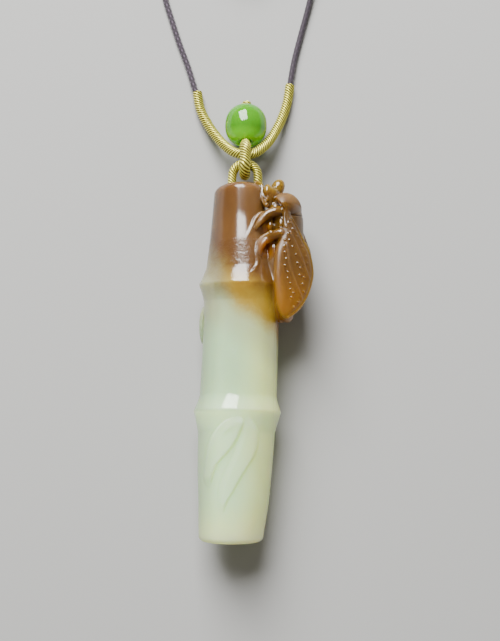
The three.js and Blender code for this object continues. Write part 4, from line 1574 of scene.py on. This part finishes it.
# Painted light under the lower node, where the surface faces away from the window and would lie in shade.
painted_light_under_node = skin.rise(y, 0.3, -0.3) * skin.rise(y, -4.2, -1.5)
upper_left = skin.rise(x, -1.5, -4.5) * skin.rise(y, 10, 20)
pale = skin.layers(
    celadon,
    (yellow_side_and_glow, yellowish),
    (skin.rise(wisps, 0.55, 0.8) * 0.2, (0.66, 0.80, 0.58)),
    # Painted shade: the left flank darker and greyer.
    (skin.rise(x, -2.0, -6.0) * 0.6, (0.20, 0.27, 0.14)),
    (painted_light_under_node * 0.6, (0.76, 0.99, 0.62)),
    # Lighter, yellower tip on the yellow side: partly its own tone, partly painted glow.
    (skin.rise(y, -14, -21) * yellow_side_and_glow * 0.35, (0.95, 0.99, 0.55)),
    (upper_left * 0.75, (0.22, 0.21, 0.10)),
    (skin.rise(above_line, -9, -3) * 0.6, (0.40, 0.41, 0.24)),
)
print("pale jade has", len(skin.tree.nodes), "nodes so far")

# %% [markdown]
# ## Brown skin
# Above the line comes ash on the left or gold on the right, then russet, painted darker towards the
# left edge as shade. The cicada has its own browns, darkest on its back and more golden towards the
# wing's tip, and the thin places beside its legs let light through, which a painted warm brown
# stands for. Its legs are paler and greyer, partly their own tone and partly painted sheen.

# %% Brown skin
ash = skin.mix(wisps, (0.26, 0.24, 0.12), (0.20, 0.15, 0.06))
gold = skin.mix(wisps, (0.44, 0.30, 0.030), (0.34, 0.20, 0.018))
first_tint = skin.mix(skin.rise(x, -3.6, 0.4), ash, gold)
russet = skin.layers(
    skin.mix(clouds, (0.105, 0.042, 0.009), (0.15, 0.070, 0.016)),
    (skin.rise(grain, 0.55, 0.8) * 0.3, (0.17, 0.085, 0.040)),
    # Painted shade: the russet darker towards the left edge.
    (skin.rise(x, -2.0, -4.5) * 0.7, (0.075, 0.030, 0.002)),
)
insect = skin.layers(
    (0.085, 0.037, 0.003),
    (skin.rise(y, 32, 26), (0.13, 0.057, 0.006)),
    (skin.rise(y, 32.6, 33.4), (0.12, 0.055, 0.006)),
    (skin.rise(y, 25, 16), (0.25, 0.10, 0.003)),
    (skin.rise(y, 36.4, 37.6), (0.17, 0.10, 0.008)),
)


def around(a, b, reach):
    """1 at a place seen from above, fading to 0 at reach from it."""
    gap = ((x - a) ** 2 + (y - b) ** 2) ** 0.5
    return skin.rise(gap, reach, reach * 0.3)


on_insect = skin.rise(x + 0.135 * y, 8.2, 9.1)
off_insect = 1 - on_insect
on_legs = skin.attribute("raised") * off_insect
hollows_painted_light = (around(4.6, 30.5, 1.1) + around(5.0, 26.9, 2.0)).clamped()
stone_colour = skin.layers(
    pale,
    (skin.rise(above_line, -3.4, 1.4), first_tint),
    (skin.rise(above_line, 1.5, 7.0), russet),
    (on_insect, insect),
    # Paler, greyer legs: partly their own tone, partly painted sheen.
    (on_legs * 0.5, (0.20, 0.11, 0.04)),
    # Painted light: the thin hollows beside the legs lit warm brown, as light passing through.
    (hollows_painted_light * 0.8, (0.27, 0.085, 0.001)),
)
print("brown skin done,", len(skin.tree.nodes), "nodes")

# %% [markdown]
# ## Polish
# A carver polishes what the wheel can reach. The stem mirrors the window, the cicada has a satin
# finish except for its beads, and a few small pits break up the mirror between the legs and the
# upper node. Satin is only a higher roughness, so one sum of masks is enough.

# %% Satin and pits
below_head = skin.rise(y, 37.2, 36.6)
beside_body = (
    4.9
    + 1.0 * skin.rise(y, 24.5, 26.0)
    + 1.15 * skin.rise(y, 26.5, 28.5)
    + 1.3 * skin.rise(y, 24.5, 19.5)
    + 0.8 * skin.rise(y, 30.3, 31.1)
)
satin = skin.rise(x - beside_body, 0, 0.5) * below_head
satin = satin + 2 * skin.rise(y, 34.3, 34.8) * below_head * skin.rise(x, 6.0, 6.5)
satin = satin + around(7.9, 29.7, 1.1) + 0.6 * around(7.2, 27.9, 1.5)
satin = satin * (1 - skin.attribute("polished"))
pitted = 0.35 + 0.65 * skin.rise(y, 23.4, 24.6)
pitted = pitted * skin.rise(y, 29.0, 28.4) * skin.rise(y, 21.4, 22.0) * off_insect
worn = skin.rise(y, 23.8, 25.0) * off_insect
mottle = skin.noise(spot, 0.9, roughness=0.6, distortion=0.5)
skin.relief((0.6 * mottle + 0.4 * grain - 0.5) * pitted, 0.1)
roughness = 0.09 + 0.03 * grain + 0.07 * worn + 0.04 * pitted + 0.22 * satin + 0.09 * on_legs
print("polish done,", len(skin.tree.nodes), "nodes")

# %% Stone material
jade_carving.data.materials.append(skin.set(
    Base_Color=stone_colour,
    Roughness=roughness,
    Subsurface_Weight=1.0,
    Subsurface_Radius=(1.5, 1.3, 0.7),
    Subsurface_Scale=0.004,
    IOR=1.64,
))
print("stone material", skin.material.name)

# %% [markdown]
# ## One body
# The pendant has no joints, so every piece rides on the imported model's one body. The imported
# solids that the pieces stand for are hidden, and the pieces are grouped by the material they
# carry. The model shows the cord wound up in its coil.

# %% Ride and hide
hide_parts("neck_cord_left", "neck_cord_right", "neck_cord_coil")
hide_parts("pendant_ring")
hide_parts("bead_link")
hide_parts("neck_sleeve")
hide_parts("coil_tie")
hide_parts("jade_bead")
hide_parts("jade_carving")
slots = {
    "jade": [jade_carving],
    "cord": [neck_cord],
    "silk": [pendant_ring, bead_link, neck_sleeve, coil_tie, link_neck, link_knob],
    "green_jade": [jade_bead],
}
for name, pieces in slots.items():
    for piece in pieces:
        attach(piece, "root")
tuple(cord_path[0] * MM)
[tuple(p) for p in cord_path[::4] * MM]
print("pieces", sum(len(pieces) for pieces in slots.values()))

# %% [markdown]
# ## End
# The last cell prints that the scene is done.

# %% Finish
print("scene done")
